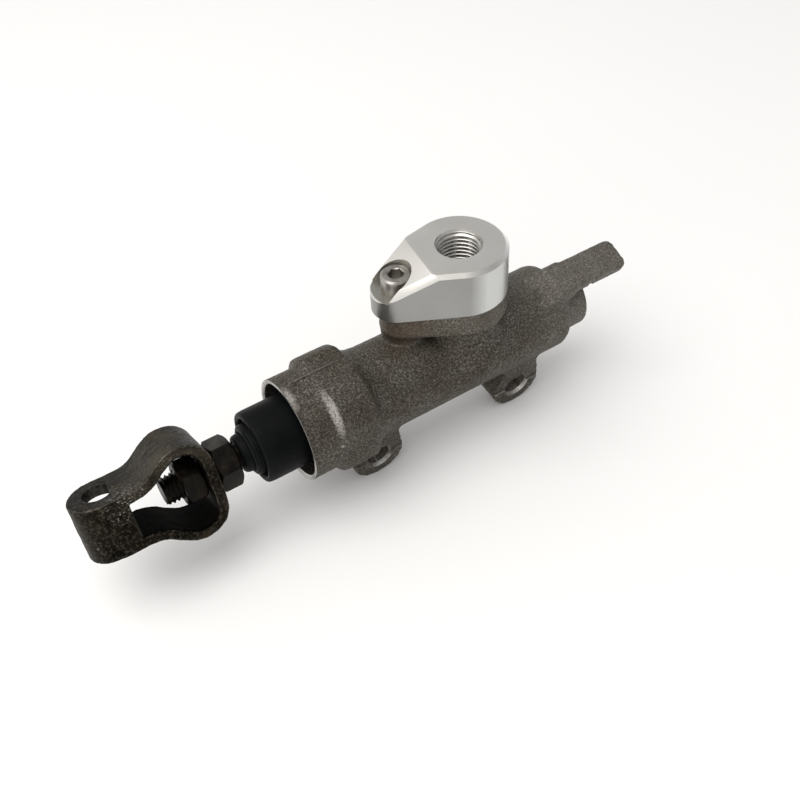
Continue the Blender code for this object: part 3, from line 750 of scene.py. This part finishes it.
def make_lug(x):
    shoulder = math.radians(20)
    eye = arc((0, LUG_DROP), LUG_R + 0.1, -shoulder, math.pi + shoulder, 40)
    outline = [(7.2, 4), (6.2, 8), *eye, (-6.2, 8), (-7.2, 4)]
    return prism("lug", outline, LUG_FACE - LUG_THICKNESS, LUG_FACE, lug_matrix(x))


def make_tab():
    """The hose stop: a flat tongue that leans towards the lugs' side, on a thick root."""
    half = TAB_WIDTH / 2
    end = TAB_END - TAB_CORNER_R
    side = half - TAB_CORNER_R
    outline = [
        (BARREL_END - 3, half), (BARREL_END - 3, -half),
        *arc((end, -side), TAB_CORNER_R, -math.pi / 2, 0, 8),
        *arc((end, side), TAB_CORNER_R, 0, math.pi / 2, 8),
    ]
    lean = Matrix.Rotation(TAB_TILT, 4, "X")
    top = TAB_OFFSET + TAB_THICKNESS
    tongue = prism("tab", outline, TAB_OFFSET, top, lean)
    profile = [
        (BARREL_END - 10, 9), (BARREL_END + 1, 9), (BARREL_END + 3, TAB_OFFSET + 0.5),
        (BARREL_END + 2, top - 0.1), (BARREL_END - 3.5, top - 0.3), (BARREL_END - 9, BARREL_R - 0.3),
    ]
    side_view = Matrix.Rotation(math.radians(90), 4, "X")
    root = prism("tab_root", profile, -half - 0.6, half + 0.6, lean @ side_view)
    return [tongue, root]


def make_casting():
    screw_x, screw_y = screw_axis()
    neck = turned("neck", (
        (4, 0), (4, 15.2), (7, 14.2), (9.5, 12.8), (12, 11.7), (14.5, 11.3), (17.5, 11.6), (17.5, 0),
    ), matrix=upright(PORT_X))
    boss = turned("screw_boss", (
        (4, 0), (4, 6.2), (11, 6.0), (FLANGE_BOTTOM + 1, 6.6), (FLANGE_BOTTOM + 1, 0),
    ), 48, upright(screw_x + 1.4, screw_y))
    flange = prism("flange", teardrop(FLANGE_SCREW_REACH), FLANGE_BOTTOM, FLANGE_TOP + 0.9)
    seam = prism("parting_line", ((-20.5, -0.35), (-5, -0.35), (-5, 0.35), (-20.5, 0.35)),
                 COLLAR_FLAT - 1.5, COLLAR_FLAT + 0.65, Matrix.Rotation(SEAM_TURN, 4, "X"))
    parts = [make_barrel(), neck, boss, flange, seam, *make_tab(), *(make_lug(x) for x in LUG_PLACES)]
    casting = fused("casting", parts, 0.42, 5)
    roughen(casting, 1.1, 0.16)
    cut(casting, make_casting_cutters())
    painted(casting, cast_material(), cut_material())
    mark_faces(casting, 1, is_machined)
    return casting


def make_casting_cutters():
    """The bore with the faces at its ends, the flange's face with its well, and the drilled holes."""
    face_r = 40
    groove_start, groove_end = CIRCLIP_GROOVE
    bore = turned("bore", (
        (CUP_MOUTH - 2, 0), (CUP_MOUTH - 2, face_r), (CUP_MOUTH, face_r), (CUP_MOUTH, CUP_INNER_R + 0.35),
        (CUP_MOUTH + 0.35, CUP_INNER_R), (CUP_FLOOR, CUP_INNER_R), (CUP_FLOOR, BOOT_SEAT_R),
        (BOOT_SEAT_FLOOR, BOOT_SEAT_R), (BOOT_SEAT_FLOOR, MOUTH_R), (groove_start, MOUTH_R),
        (groove_start, CIRCLIP_GROOVE_R), (groove_end, CIRCLIP_GROOVE_R), (groove_end, MOUTH_R),
        (BORE_START, MOUTH_R), (BORE_START, BORE_R), (BORE_END, BORE_R), (BORE_END, 2.5),
        (BORE_END + 1.5, 2.5), (OUTLET_THREAD_START, OUTLET_THREAD_R), (BOSS_END - 0.5, OUTLET_THREAD_R),
        (BOSS_END, OUTLET_THREAD_R + 0.5), (BOSS_END, 14), (BOSS_END + 2, 14), (BOSS_END + 2, 0),
    ), 128)
    top = turned("flange_face", (
        (WELL_BOTTOM, 0), (WELL_BOTTOM, WELL_R), (FLANGE_TOP - SEAL_GROOVE_DEPTH, WELL_R),
        (FLANGE_TOP, WELL_R), (FLANGE_TOP, 28), (FLANGE_TOP + 2, 28), (FLANGE_TOP + 2, 0),
    ), 96, upright(PORT_X))
    inner_r, outer_r = SEAL_GROOVE
    groove_floor = FLANGE_TOP - SEAL_GROOVE_DEPTH
    groove = turned("seal_groove", (
        (groove_floor, inner_r), (groove_floor, outer_r), (FLANGE_TOP + 1, outer_r),
        (FLANGE_TOP + 1, inner_r),
    ), 96, upright(PORT_X))
    feeds = [
        turned("feed", ((4, 0), (4, r), (WELL_BOTTOM + 1, r), (WELL_BOTTOM + 1, 0)), 24, upright(x))
        for x, r in FEED_HOLES
    ]
    radius = SCREW_R + GAP
    tapping = turned("tapping", (
        (SCREW_TIP - 1, 0), (SCREW_TIP - 0.5, radius), (FLANGE_TOP + 1, radius), (FLANGE_TOP + 1, 0),
    ), 48, upright(*screw_axis()))
    return [bore, top, groove, *feeds, tapping, *(c for x in LUG_PLACES for c in make_lug_cutters(x))]


def make_lug_cutters(x):
    """A lug's bolt hole, and the shallow milled step that clears a bolt's head above its middle."""
    back = LUG_FACE - LUG_THICKNESS - 8
    rim = LUG_COUNTERSINK_R - LUG_HOLE_R
    place = lug_matrix(x) @ Matrix.Translation((0, LUG_DROP, 0))
    low = LUG_FACE - LUG_STEP
    mouth_r = LUG_COUNTERSINK_R + 0.3
    hole = turned("lug_hole", (
        (back, 0), (back, LUG_HOLE_R), (low - rim, LUG_HOLE_R), (LUG_FACE, mouth_r),
        (LUG_FACE + 3, mouth_r), (LUG_FACE + 3, 0),
    ), 64, place @ upright(0))
    side = LUG_R + 2
    recess = ((-side, 0.3), (side, 0.3), (side, -4.4), (-side, -4.4))
    step = prism("lug_step", recess, low, LUG_FACE + 3, place)
    return [hole, step]


def is_machined(p, normal):
    """Whether a point on the casting's skin, in millimetres, was left by a cutter."""
    radius = math.hypot(p.y, p.z)
    if p.x < CUP_MOUTH + 0.7 and radius < CUP_R - 0.05:
        return True
    if radius < 9.9 and -6 < p.x < 66:
        return radius < BORE_R + 0.1 or p.x < 2
    if p.x > 62 and radius < OUTLET_THREAD_R + 0.6:
        return True
    if p.x > BOSS_END - 0.03 and radius < BOSS_R + 0.3:
        return True
    if p.z > FLANGE_TOP - 0.03:
        return True
    for x in LUG_PLACES:
        out = lug_matrix(x).to_3x3().col[2]
        q = lug_matrix(x).inverted() @ p
        if normal.dot(out) > 0.98:
            continue
        low = LUG_FACE - LUG_STEP
        if math.hypot(q.x, q.y - LUG_DROP) < LUG_COUNTERSINK_R + 0.32 and q.z > low - 0.9:
            return True
        if abs(q.x) < LUG_R + 1 and abs(q.y - LUG_DROP - 0.3) < 0.1 and q.z > low - 0.1:
            return True
    return False


# ---------------------------------------------------------------- adapter


def make_adapter():
    """The milled teardrop block: chamfered all round its top, falling to the screw's pocket."""
    block = prism("adapter_block", teardrop(SCREW_REACH), ADAPTER_BOTTOM, ADAPTER_TOP)
    reach = 40.0
    fall = (reach - SLOPE_START) * math.tan(SLOPE_ANGLE)
    across = Matrix.Translation((PORT_X, 0, 0)) @ Matrix.Rotation(SCREW_ANGLE, 4, "Z")
    wedge = prism("slope", (
        (SLOPE_START, ADAPTER_TOP), (reach, ADAPTER_TOP - fall), (reach, ADAPTER_TOP + 5),
        (SLOPE_START - 2, ADAPTER_TOP + 5), (SLOPE_START - 2, ADAPTER_TOP + 0.02),
    ), -20, 20, across @ Matrix.Rotation(math.radians(90), 4, "X"))
    cut(block, [wedge], "EXACT")
    chamfer_top(block)
    round_end = arc((POCKET_REACH, 0), POCKET_R, math.radians(90), math.radians(270), 48)
    pocket = prism("pocket", [*round_end, (reach, -POCKET_R), (reach, POCKET_R)],
                   POCKET_FLOOR, ADAPTER_TOP + 5, across)
    port = turned("port", (
        (ADAPTER_BOTTOM - 1, 0), (ADAPTER_BOTTOM - 1, PORT_R + 0.15), (ADAPTER_TOP - 0.8, PORT_R + 0.15),
        (ADAPTER_TOP, PORT_CHAMFER_R), (ADAPTER_TOP + 1, PORT_CHAMFER_R), (ADAPTER_TOP + 1, 0),
    ), 96, upright(PORT_X))
    radius = SCREW_R + GAP
    hole = turned("hole", (
        (ADAPTER_BOTTOM - 1, 0), (ADAPTER_BOTTOM - 1, radius), (POCKET_FLOOR + 1, radius),
        (POCKET_FLOOR + 1, 0),
    ), 48, upright(*screw_axis()))
    cut(block, [pocket, port, hole], "EXACT")
    bevel(block, 0.14, sharp=12)
    return painted(block, machined_material())


def chamfer_top(block):
    """Cuts the chamfers along the outline, wider on the slope than on the level top."""
    bm = bmesh.new()
    bm.from_mesh(block.data)
    bmesh.ops.remove_doubles(bm, verts=bm.verts, dist=0.00001)
    bmesh.ops.dissolve_limit(bm, angle_limit=math.radians(0.5), verts=bm.verts, edges=bm.edges)
    for width, low, high in ((SLOPE_CHAMFER, 0.8, 0.95), (LEVEL_CHAMFER, 0.99, 1.01)):
        bm.normal_update()
        rim = [e for e in bm.edges if len(e.link_faces) == 2
               and any(low < f.normal.z < high for f in e.link_faces)
               and any(abs(f.normal.z) < 0.1 for f in e.link_faces)]
        bmesh.ops.bevel(bm, geom=rim, offset=width * MM, segments=1, profile=0.5, affect="EDGES",
                        offset_type="OFFSET", clamp_overlap=True)
    bmesh.ops.triangulate(bm, faces=[f for f in bm.faces if len(f.verts) > 4])
    bm.to_mesh(block.data)
    bm.free()


def make_port_thread():
    """The threaded sleeve that lines the port."""
    outer_r = PORT_R + 0.6
    depth = 0.72
    sides = 72
    steps = 9
    low, high = ADAPTER_BOTTOM + 0.3, ADAPTER_TOP - 0.55
    count = int((high - low) / PORT_PITCH * steps)
    turn = [i / sides for i in range(sides)]
    rings = []
    for k in range(count + 1):
        x = low + (high - low) * k / count
        fade = min(1.0, (high - x) / 0.8)
        radii = [PORT_R + 0.1 - (depth - thread_radius(x, t, PORT_PITCH, depth, 0.0)) * fade for t in turn]
        rings.append([round_point(x, r, t) for r, t in zip(radii, turn)])
    for x in (high, low):
        rings.append([round_point(x, outer_r, t) for t in turn])
    sleeve = lofted("port_thread", rings, upright(PORT_X), closed=True, sharp=60)
    return painted(sleeve, thread_material())


def make_spigot():
    """The plain spigot below the port, in the casting's well."""
    inner_r = 5.5
    top = ADAPTER_BOTTOM + 0.2
    profile = (
        (SPIGOT_BOTTOM, inner_r), (SPIGOT_BOTTOM, SPIGOT_R - 0.3), (SPIGOT_BOTTOM + 0.3, SPIGOT_R),
        (top, SPIGOT_R), (top, inner_r),
    )
    return painted(turned("adapter_spigot", profile, 72, upright(PORT_X)), machined_material())


def make_screw():
    """The M5 cap screw: a chamfered head with a hexagon socket, and a threaded shank."""
    bottom = POCKET_FLOOR
    top = SCREW_HEAD_TOP
    axis = upright(*screw_axis())
    side = rounded([
        (bottom, SCREW_HEAD_R - 0.05), (bottom + 0.2, SCREW_HEAD_R), (top - 0.55, SCREW_HEAD_R),
        (top, SCREW_HEAD_R - 0.55),
    ], 0.12, 3)
    head = turned("screw_head", [(bottom, 0), *side, (top, 0)], 72, axis)
    over_axis = Matrix.Translation((*screw_axis(), 0))
    socket = prism("socket", hexagon(SOCKET_ACROSS), top - SOCKET_DEPTH, top + 1, over_axis)
    mouth_r = SOCKET_ACROSS / 2
    mouth = turned("mouth", (
        (top - 0.3, 0), (top - 0.3, mouth_r), (top + 0.3, mouth_r + 0.6), (top + 0.3, 0),
    ), 48, axis)
    cut(head, [socket, mouth], "EXACT")
    shank = threaded("screw_shank", SCREW_TIP, bottom + 0.1, SCREW_R, SCREW_R - 0.45, 0.8, 40, axis)
    material = screw_material()
    return painted(head, material), painted(shank, material)


def threaded(name, low, high, crest, root, pitch, sides, matrix=Matrix.Identity(4)):
    """A solid threaded bar, its thread running out at both ends."""
    steps = 8
    count = int((high - low) / pitch * steps)
    rings = [[(low, 0, 0)]]
    for k in range(count + 1):
        x = low + (high - low) * k / count
        fade = min(1.0, (x - low) / pitch + 0.1, (high - x) / pitch + 0.1)
        ring = []
        for i in range(sides):
            t = i / sides
            r = root + (thread_radius(x, t, pitch, crest, root) - root) * fade
            ring.append(round_point(x, r, t))
        rings.append(ring)
    return lofted(name, rings + [[(high, 0, 0)]], matrix, sharp=70)


# ---------------------------------------------------------------- rod, nuts, clevis, boot


def make_rod():
    bar = threaded("rod_thread", ROD_END_X, ROD_THREAD_END, ROD_R, ROD_R - 0.62, ROD_PITCH, 64)
    ball_start = math.pi - math.asin(ROD_NECK_R / BALL_R)
    shank = turned("rod_shank", [
        (ROD_THREAD_END - 0.4, 0), (ROD_THREAD_END - 0.4, ROD_R - 0.4), (ROD_NECK_START - 1, ROD_R - 0.4),
        (ROD_NECK_START, ROD_NECK_R),
        *arc((BALL_X, 0), BALL_R, ball_start, 0, 14)[:-1], (BALL_X + BALL_R, 0),
    ], 64)
    material = dark_steel_material()
    return painted(bar, material), painted(shank, material)


def make_nut(name, span, across, turn):
    """A hexagon nut on the rod, its corners turned down at both ends."""
    low, high = span
    corner_r = across / math.sqrt(3)
    flat_r = across / 2
    nut = prism(name, hexagon(across), low, high, along_bore(turn))
    slope = 0.9
    trims = []
    for end, inward in ((low, 1), (high, -1)):
        outside = end - inward
        inside = end + inward * slope
        trims.append(turned("trim", (
            (outside, flat_r - 0.25 - slope * 0.9), (end, flat_r - 0.25), (inside, corner_r + 0.1),
            (inside, corner_r + 4), (outside, corner_r + 4),
        ), 96))
    hole = turned("nut_hole", (
        (low - 1, 0), (low - 1, ROD_R + 1.0), (low, ROD_R + 0.55), (low + 0.6, ROD_R + 0.1),
        (high - 0.6, ROD_R + 0.1), (high, ROD_R + 0.55), (high + 1, ROD_R + 1.0), (high + 1, 0),
    ), 64)
    cut(nut, [*trims, hole], "EXACT")
    bevel(nut, 0.18)
    return painted(nut, dark_steel_material())


def strap_outline():
    """The folded strap seen from the side: its middle line, thickened both ways."""
    upper = smooth_path(STRAP_PATH, 8)
    middle = upper + [Vector((p.x, -p.y)) for p in reversed(upper[:-1])]
    outer = []
    inner = []
    for i, point in enumerate(middle):
        ahead = middle[min(i + 1, len(middle) - 1)] - middle[max(i - 1, 0)]
        normal = Vector((-ahead.y, ahead.x)).normalized() * STRAP / 2
        outer.append(tuple(point + normal))
        inner.append(tuple(point - normal))
    return outer + inner[::-1]


def make_clevis():
    """The folded steel strap: two arms, a rounded nose with a wrapped web, and a flat back wall."""
    turn = Matrix.Rotation(CLEVIS_TURN, 4, "X")
    half = CLEVIS_WIDTH / 2
    arm_outer = STRAP_PATH[0][1] + STRAP / 2
    side_view = Matrix.Rotation(math.radians(90), 4, "X")
    strap = prism("strap", strap_outline(), -half - 1.5, half + 1.5, turn @ side_view)
    nose = arc((PIN_X, 0), NOSE_R, math.radians(90), math.radians(270), 40)
    plan = prism("plan", [*nose, (-40, -half), (-40, half)], -20, 20, turn)
    web_outline = [
        *arc((PIN_X, 0), NOSE_R, WEB_WRAP, math.radians(270), 30),
        (WEB_END, -NOSE_R), (WEB_END, STRAP - NOSE_R),
        *arc((PIN_X, 0), NOSE_R - STRAP, math.radians(270), WEB_WRAP, 30),
    ]
    web = prism("web", web_outline, 0.6 - arm_outer, arm_outer - 0.6, turn)
    lean = -0.135
    fade = Matrix(((1, 0, 0, 0), (0, 1, 0, 0), (lean, 0, 1, lean * 84), (0, 0, 0, 1)))
    bend = prism("bend", ((-9.0, -5.9), (-9.0, -12.0), (-0.5, -12.0)), -84, -71, turn @ fade @ along_bore())
    trim = strap.modifiers.new("trim", "BOOLEAN")
    trim.operation = "INTERSECT"
    trim.object = plan
    bake_modifiers(strap)
    bpy.data.objects.remove(plan)
    clevis = fused("clevis_strap", [strap, web], 0.3, 0)
    cut(clevis, [bend])
    clevis = fused("clevis_strap", [clevis], 0.3, 5)
    roughen(clevis, 3.0, 0.22)
    roughen(clevis, 0.8, 0.08)
    pin_hole = ((-20, 0), (-20, PIN_HOLE_R), (20, PIN_HOLE_R), (20, 0))
    pin = turned("pin_hole", pin_hole, 64, turn @ upright(PIN_X))
    rod = turned("rod_hole", ((-55, 0), (-55, ROD_HOLE_R), (-40, ROD_HOLE_R), (-40, 0)), 48)
    cut(clevis, [pin, rod])
    return painted(clevis, clevis_material())


def make_boot():
    """The moulded cap with its face folded in towards the rod."""
    outside = rounded([
        (BOOT_START, 10.7), (-8.6, 10.7), (-9.3, 10.5), (-32.6, 10.45), (-34.3, 10.2), (-34.35, 8.7),
        (-32.5, 8.3), (-32.4, 7.5), (-35.6, 7.3), (-36.1, 6.0),
    ], 1.1)
    inside = rounded([
        (-35.3, 5.3), (-34.6, 6.1), (-31.3, 6.2), (-31.1, 8.8), (-9.0, 8.9), (BOOT_START, 8.9),
    ], 0.6)
    return painted(turned("boot_cap", outside + inside, 128, sharp=60), rubber_material())


def make_boot_lip():
    """The lip that grips the rod and slides under the cap's inner fold."""
    outline = rounded([
        (-34.9, 4.05), (-34.9, 5.2), (-36.3, 5.6), (-37.0, 5.5), (-37.9, 5.3), (-38.4, 4.9), (-38.4, 4.05),
    ], 0.35)
    return painted(turned("boot_lip", outline, 96, sharp=60), rubber_material())


def make_spring():
    """The return spring: live turns between two closed end turns."""
    start, end = SPRING
    per_turn = 24
    wire_d = 2 * SPRING_WIRE_R
    dead = 1.1 * wire_d
    live = end - start - wire_d - 2 * dead
    rings = [[(start + SPRING_WIRE_R, 0, SPRING_R)]]
    for i in range(SPRING_TURNS * per_turn + 1):
        turns = i / per_turn
        if turns < 1:
            along = dead * turns
        elif turns > SPRING_TURNS - 1:
            along = dead + live + dead * (turns - SPRING_TURNS + 1)
        else:
            along = dead + live * (turns - 1) / (SPRING_TURNS - 2)
        angle = 2 * math.pi * turns
        outward = Vector((0, math.sin(angle), math.cos(angle)))
        centre = outward * SPRING_R + Vector((start + SPRING_WIRE_R + along, 0, 0))
        section = arc((0, 0), SPRING_WIRE_R, 0, 2 * math.pi, 11)[:-1]
        rings.append([tuple(centre + outward * u + Vector((v, 0, 0))) for u, v in section])
    rings.append([tuple(centre)])
    return painted(lofted("spring_wire", rings, sharp=80), spring_material())


# ---------------------------------------------------------------- stage


def make_stage():
    """A pale floor, a soft sky that is brighter on the clevis's side, and one large soft lamp."""
    bpy.ops.mesh.primitive_plane_add(size=6, location=(0, 0, 0))
    floor = bpy.context.object
    floor.name = "floor"
    material, tree, shader, place = start_material("floor_paper")
    tone = ramp(tree, noise(tree, place, 3, 3), (0.3, (0.90, 0.90, 0.90)), (0.7, (0.92, 0.92, 0.92)))
    wire(tree, shader, Base_Color=tone, Roughness=0.9)
    painted(floor, material)
    world = bpy.context.scene.world or bpy.data.worlds.new("world")
    bpy.context.scene.world = world
    world.use_nodes = True
    background = world.node_tree.nodes["Background"]
    tree = world.node_tree
    heading = add(tree, "TexCoord").outputs["Generated"]
    bright_side = dot(tree, heading, (-0.43, 0.115, 0.23))
    shade = add(tree, "Math", {0: bright_side, 1: 0.5}, operation="ADD").outputs["Value"]
    sky = ramp(tree, shade, (0.28, (0.48, 0.485, 0.49)), (0.56, (0.66, 0.655, 0.65)),
               (0.84, (1.0, 0.985, 0.96)))
    tree.links.new(sky, background.inputs["Color"])
    background.inputs["Strength"].default_value = 0.95
    add_light("key", (-0.35, 0.0, 0.80), 0.9, 4.6, (1.0, 0.98, 0.95))
    bpy.context.scene.view_settings.view_transform = "Standard"


def add_light(name, place, size, power, colour):
    data = bpy.data.lights.new(name, "AREA")
    data.shape = "DISK"
    data.size = size
    data.energy = power
    data.color = colour
    light = bpy.data.objects.new(name, data)
    light.location = place
    aim = Vector((0, 0, 0.02)) - Vector(place)
    light.rotation_euler = aim.to_track_quat("-Z", "Y").to_euler()
    bpy.context.scene.collection.objects.link(light)


def make_camera():
    data = bpy.data.cameras.new("camera")
    data.lens = LENS
    data.sensor_width = SENSOR
    data.clip_start = 0.01
    camera = bpy.data.objects.new("camera", data)
    camera.location = CAMERA_PLACE
    aim = Vector(CAMERA_TARGET) - Vector(CAMERA_PLACE)
    roll = Matrix.Rotation(CAMERA_ROLL, 3, "Z")
    camera.rotation_euler = (aim.to_track_quat("-Z", "Y").to_matrix() @ roll).to_euler()
    bpy.context.scene.collection.objects.link(camera)
    bpy.context.scene.camera = camera


# ---------------------------------------------------------------- assembly


def stand_for(piece, body, slot, *nodes):
    """Rides a piece on its body, in place of these CAD nodes."""
    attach(piece, body)
    if nodes:
        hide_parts(*nodes)


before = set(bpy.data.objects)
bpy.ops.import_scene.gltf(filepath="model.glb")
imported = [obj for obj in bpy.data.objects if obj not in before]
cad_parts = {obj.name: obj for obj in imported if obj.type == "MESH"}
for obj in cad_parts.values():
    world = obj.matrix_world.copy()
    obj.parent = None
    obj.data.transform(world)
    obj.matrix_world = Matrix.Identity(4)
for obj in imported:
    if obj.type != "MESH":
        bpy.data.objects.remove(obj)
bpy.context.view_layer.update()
rod_low, rod_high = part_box("pushrod")
rod_middle = (rod_low + rod_high) / 2
bore_origin = Vector((rod_low.x - ROD_END_X * MM, rod_middle.y, rod_middle.z))
PLACE = Matrix.Translation(bore_origin) @ Matrix.Scale(MM, 4)

make_camera()
make_stage()

stand_for(make_casting(), "housing", "cast_aluminium", "cylinder_body")
stand_for(make_adapter(), "housing", "machined_aluminium", "reservoir_adapter")
stand_for(make_port_thread(), "housing", "machined_aluminium")
stand_for(make_spigot(), "housing", "machined_aluminium")
screw_head, screw_shank = make_screw()
stand_for(screw_head, "housing", "screw_steel", "adapter_screw")
stand_for(screw_shank, "housing", "screw_steel")
rod_thread, rod_shank = make_rod()
stand_for(rod_thread, "pushrod", "dark_steel", "pushrod")
stand_for(rod_shank, "pushrod", "dark_steel")
lock_nut = make_nut("lock_nut_hexagon", LOCK_NUT, LOCK_NUT_ACROSS, LOCK_NUT_TURN)
stand_for(lock_nut, "lock_nut", "dark_steel", "lock_nut")
joint_nut = make_nut("joint_nut_hexagon", JOINT_NUT, JOINT_NUT_ACROSS, CLEVIS_TURN)
stand_for(joint_nut, "joint_nut", "dark_steel", "joint_nut")
stand_for(make_clevis(), "clevis", "clevis_steel", "clevis")

boot = make_boot()
stand_for(boot, "housing", "boot_rubber", "rubber_boot")
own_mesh(boot)
stand_for(make_boot_lip(), "pushrod", "boot_rubber")

spring = make_spring()
stand_for(spring, "housing", "spring_steel", "return_spring")
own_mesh(spring)

seal = seal_material()
plated = spring_material()
for node, material in (
    ("adapter_o_ring", seal), ("primary_cup", seal), ("secondary_cup", seal),
    ("circlip", plated), ("stop_plate", plated), ("spring_seat", plated), ("piston", piston_material()),
):
    painted(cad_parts[node], material)

bpy.context.view_layer.update()
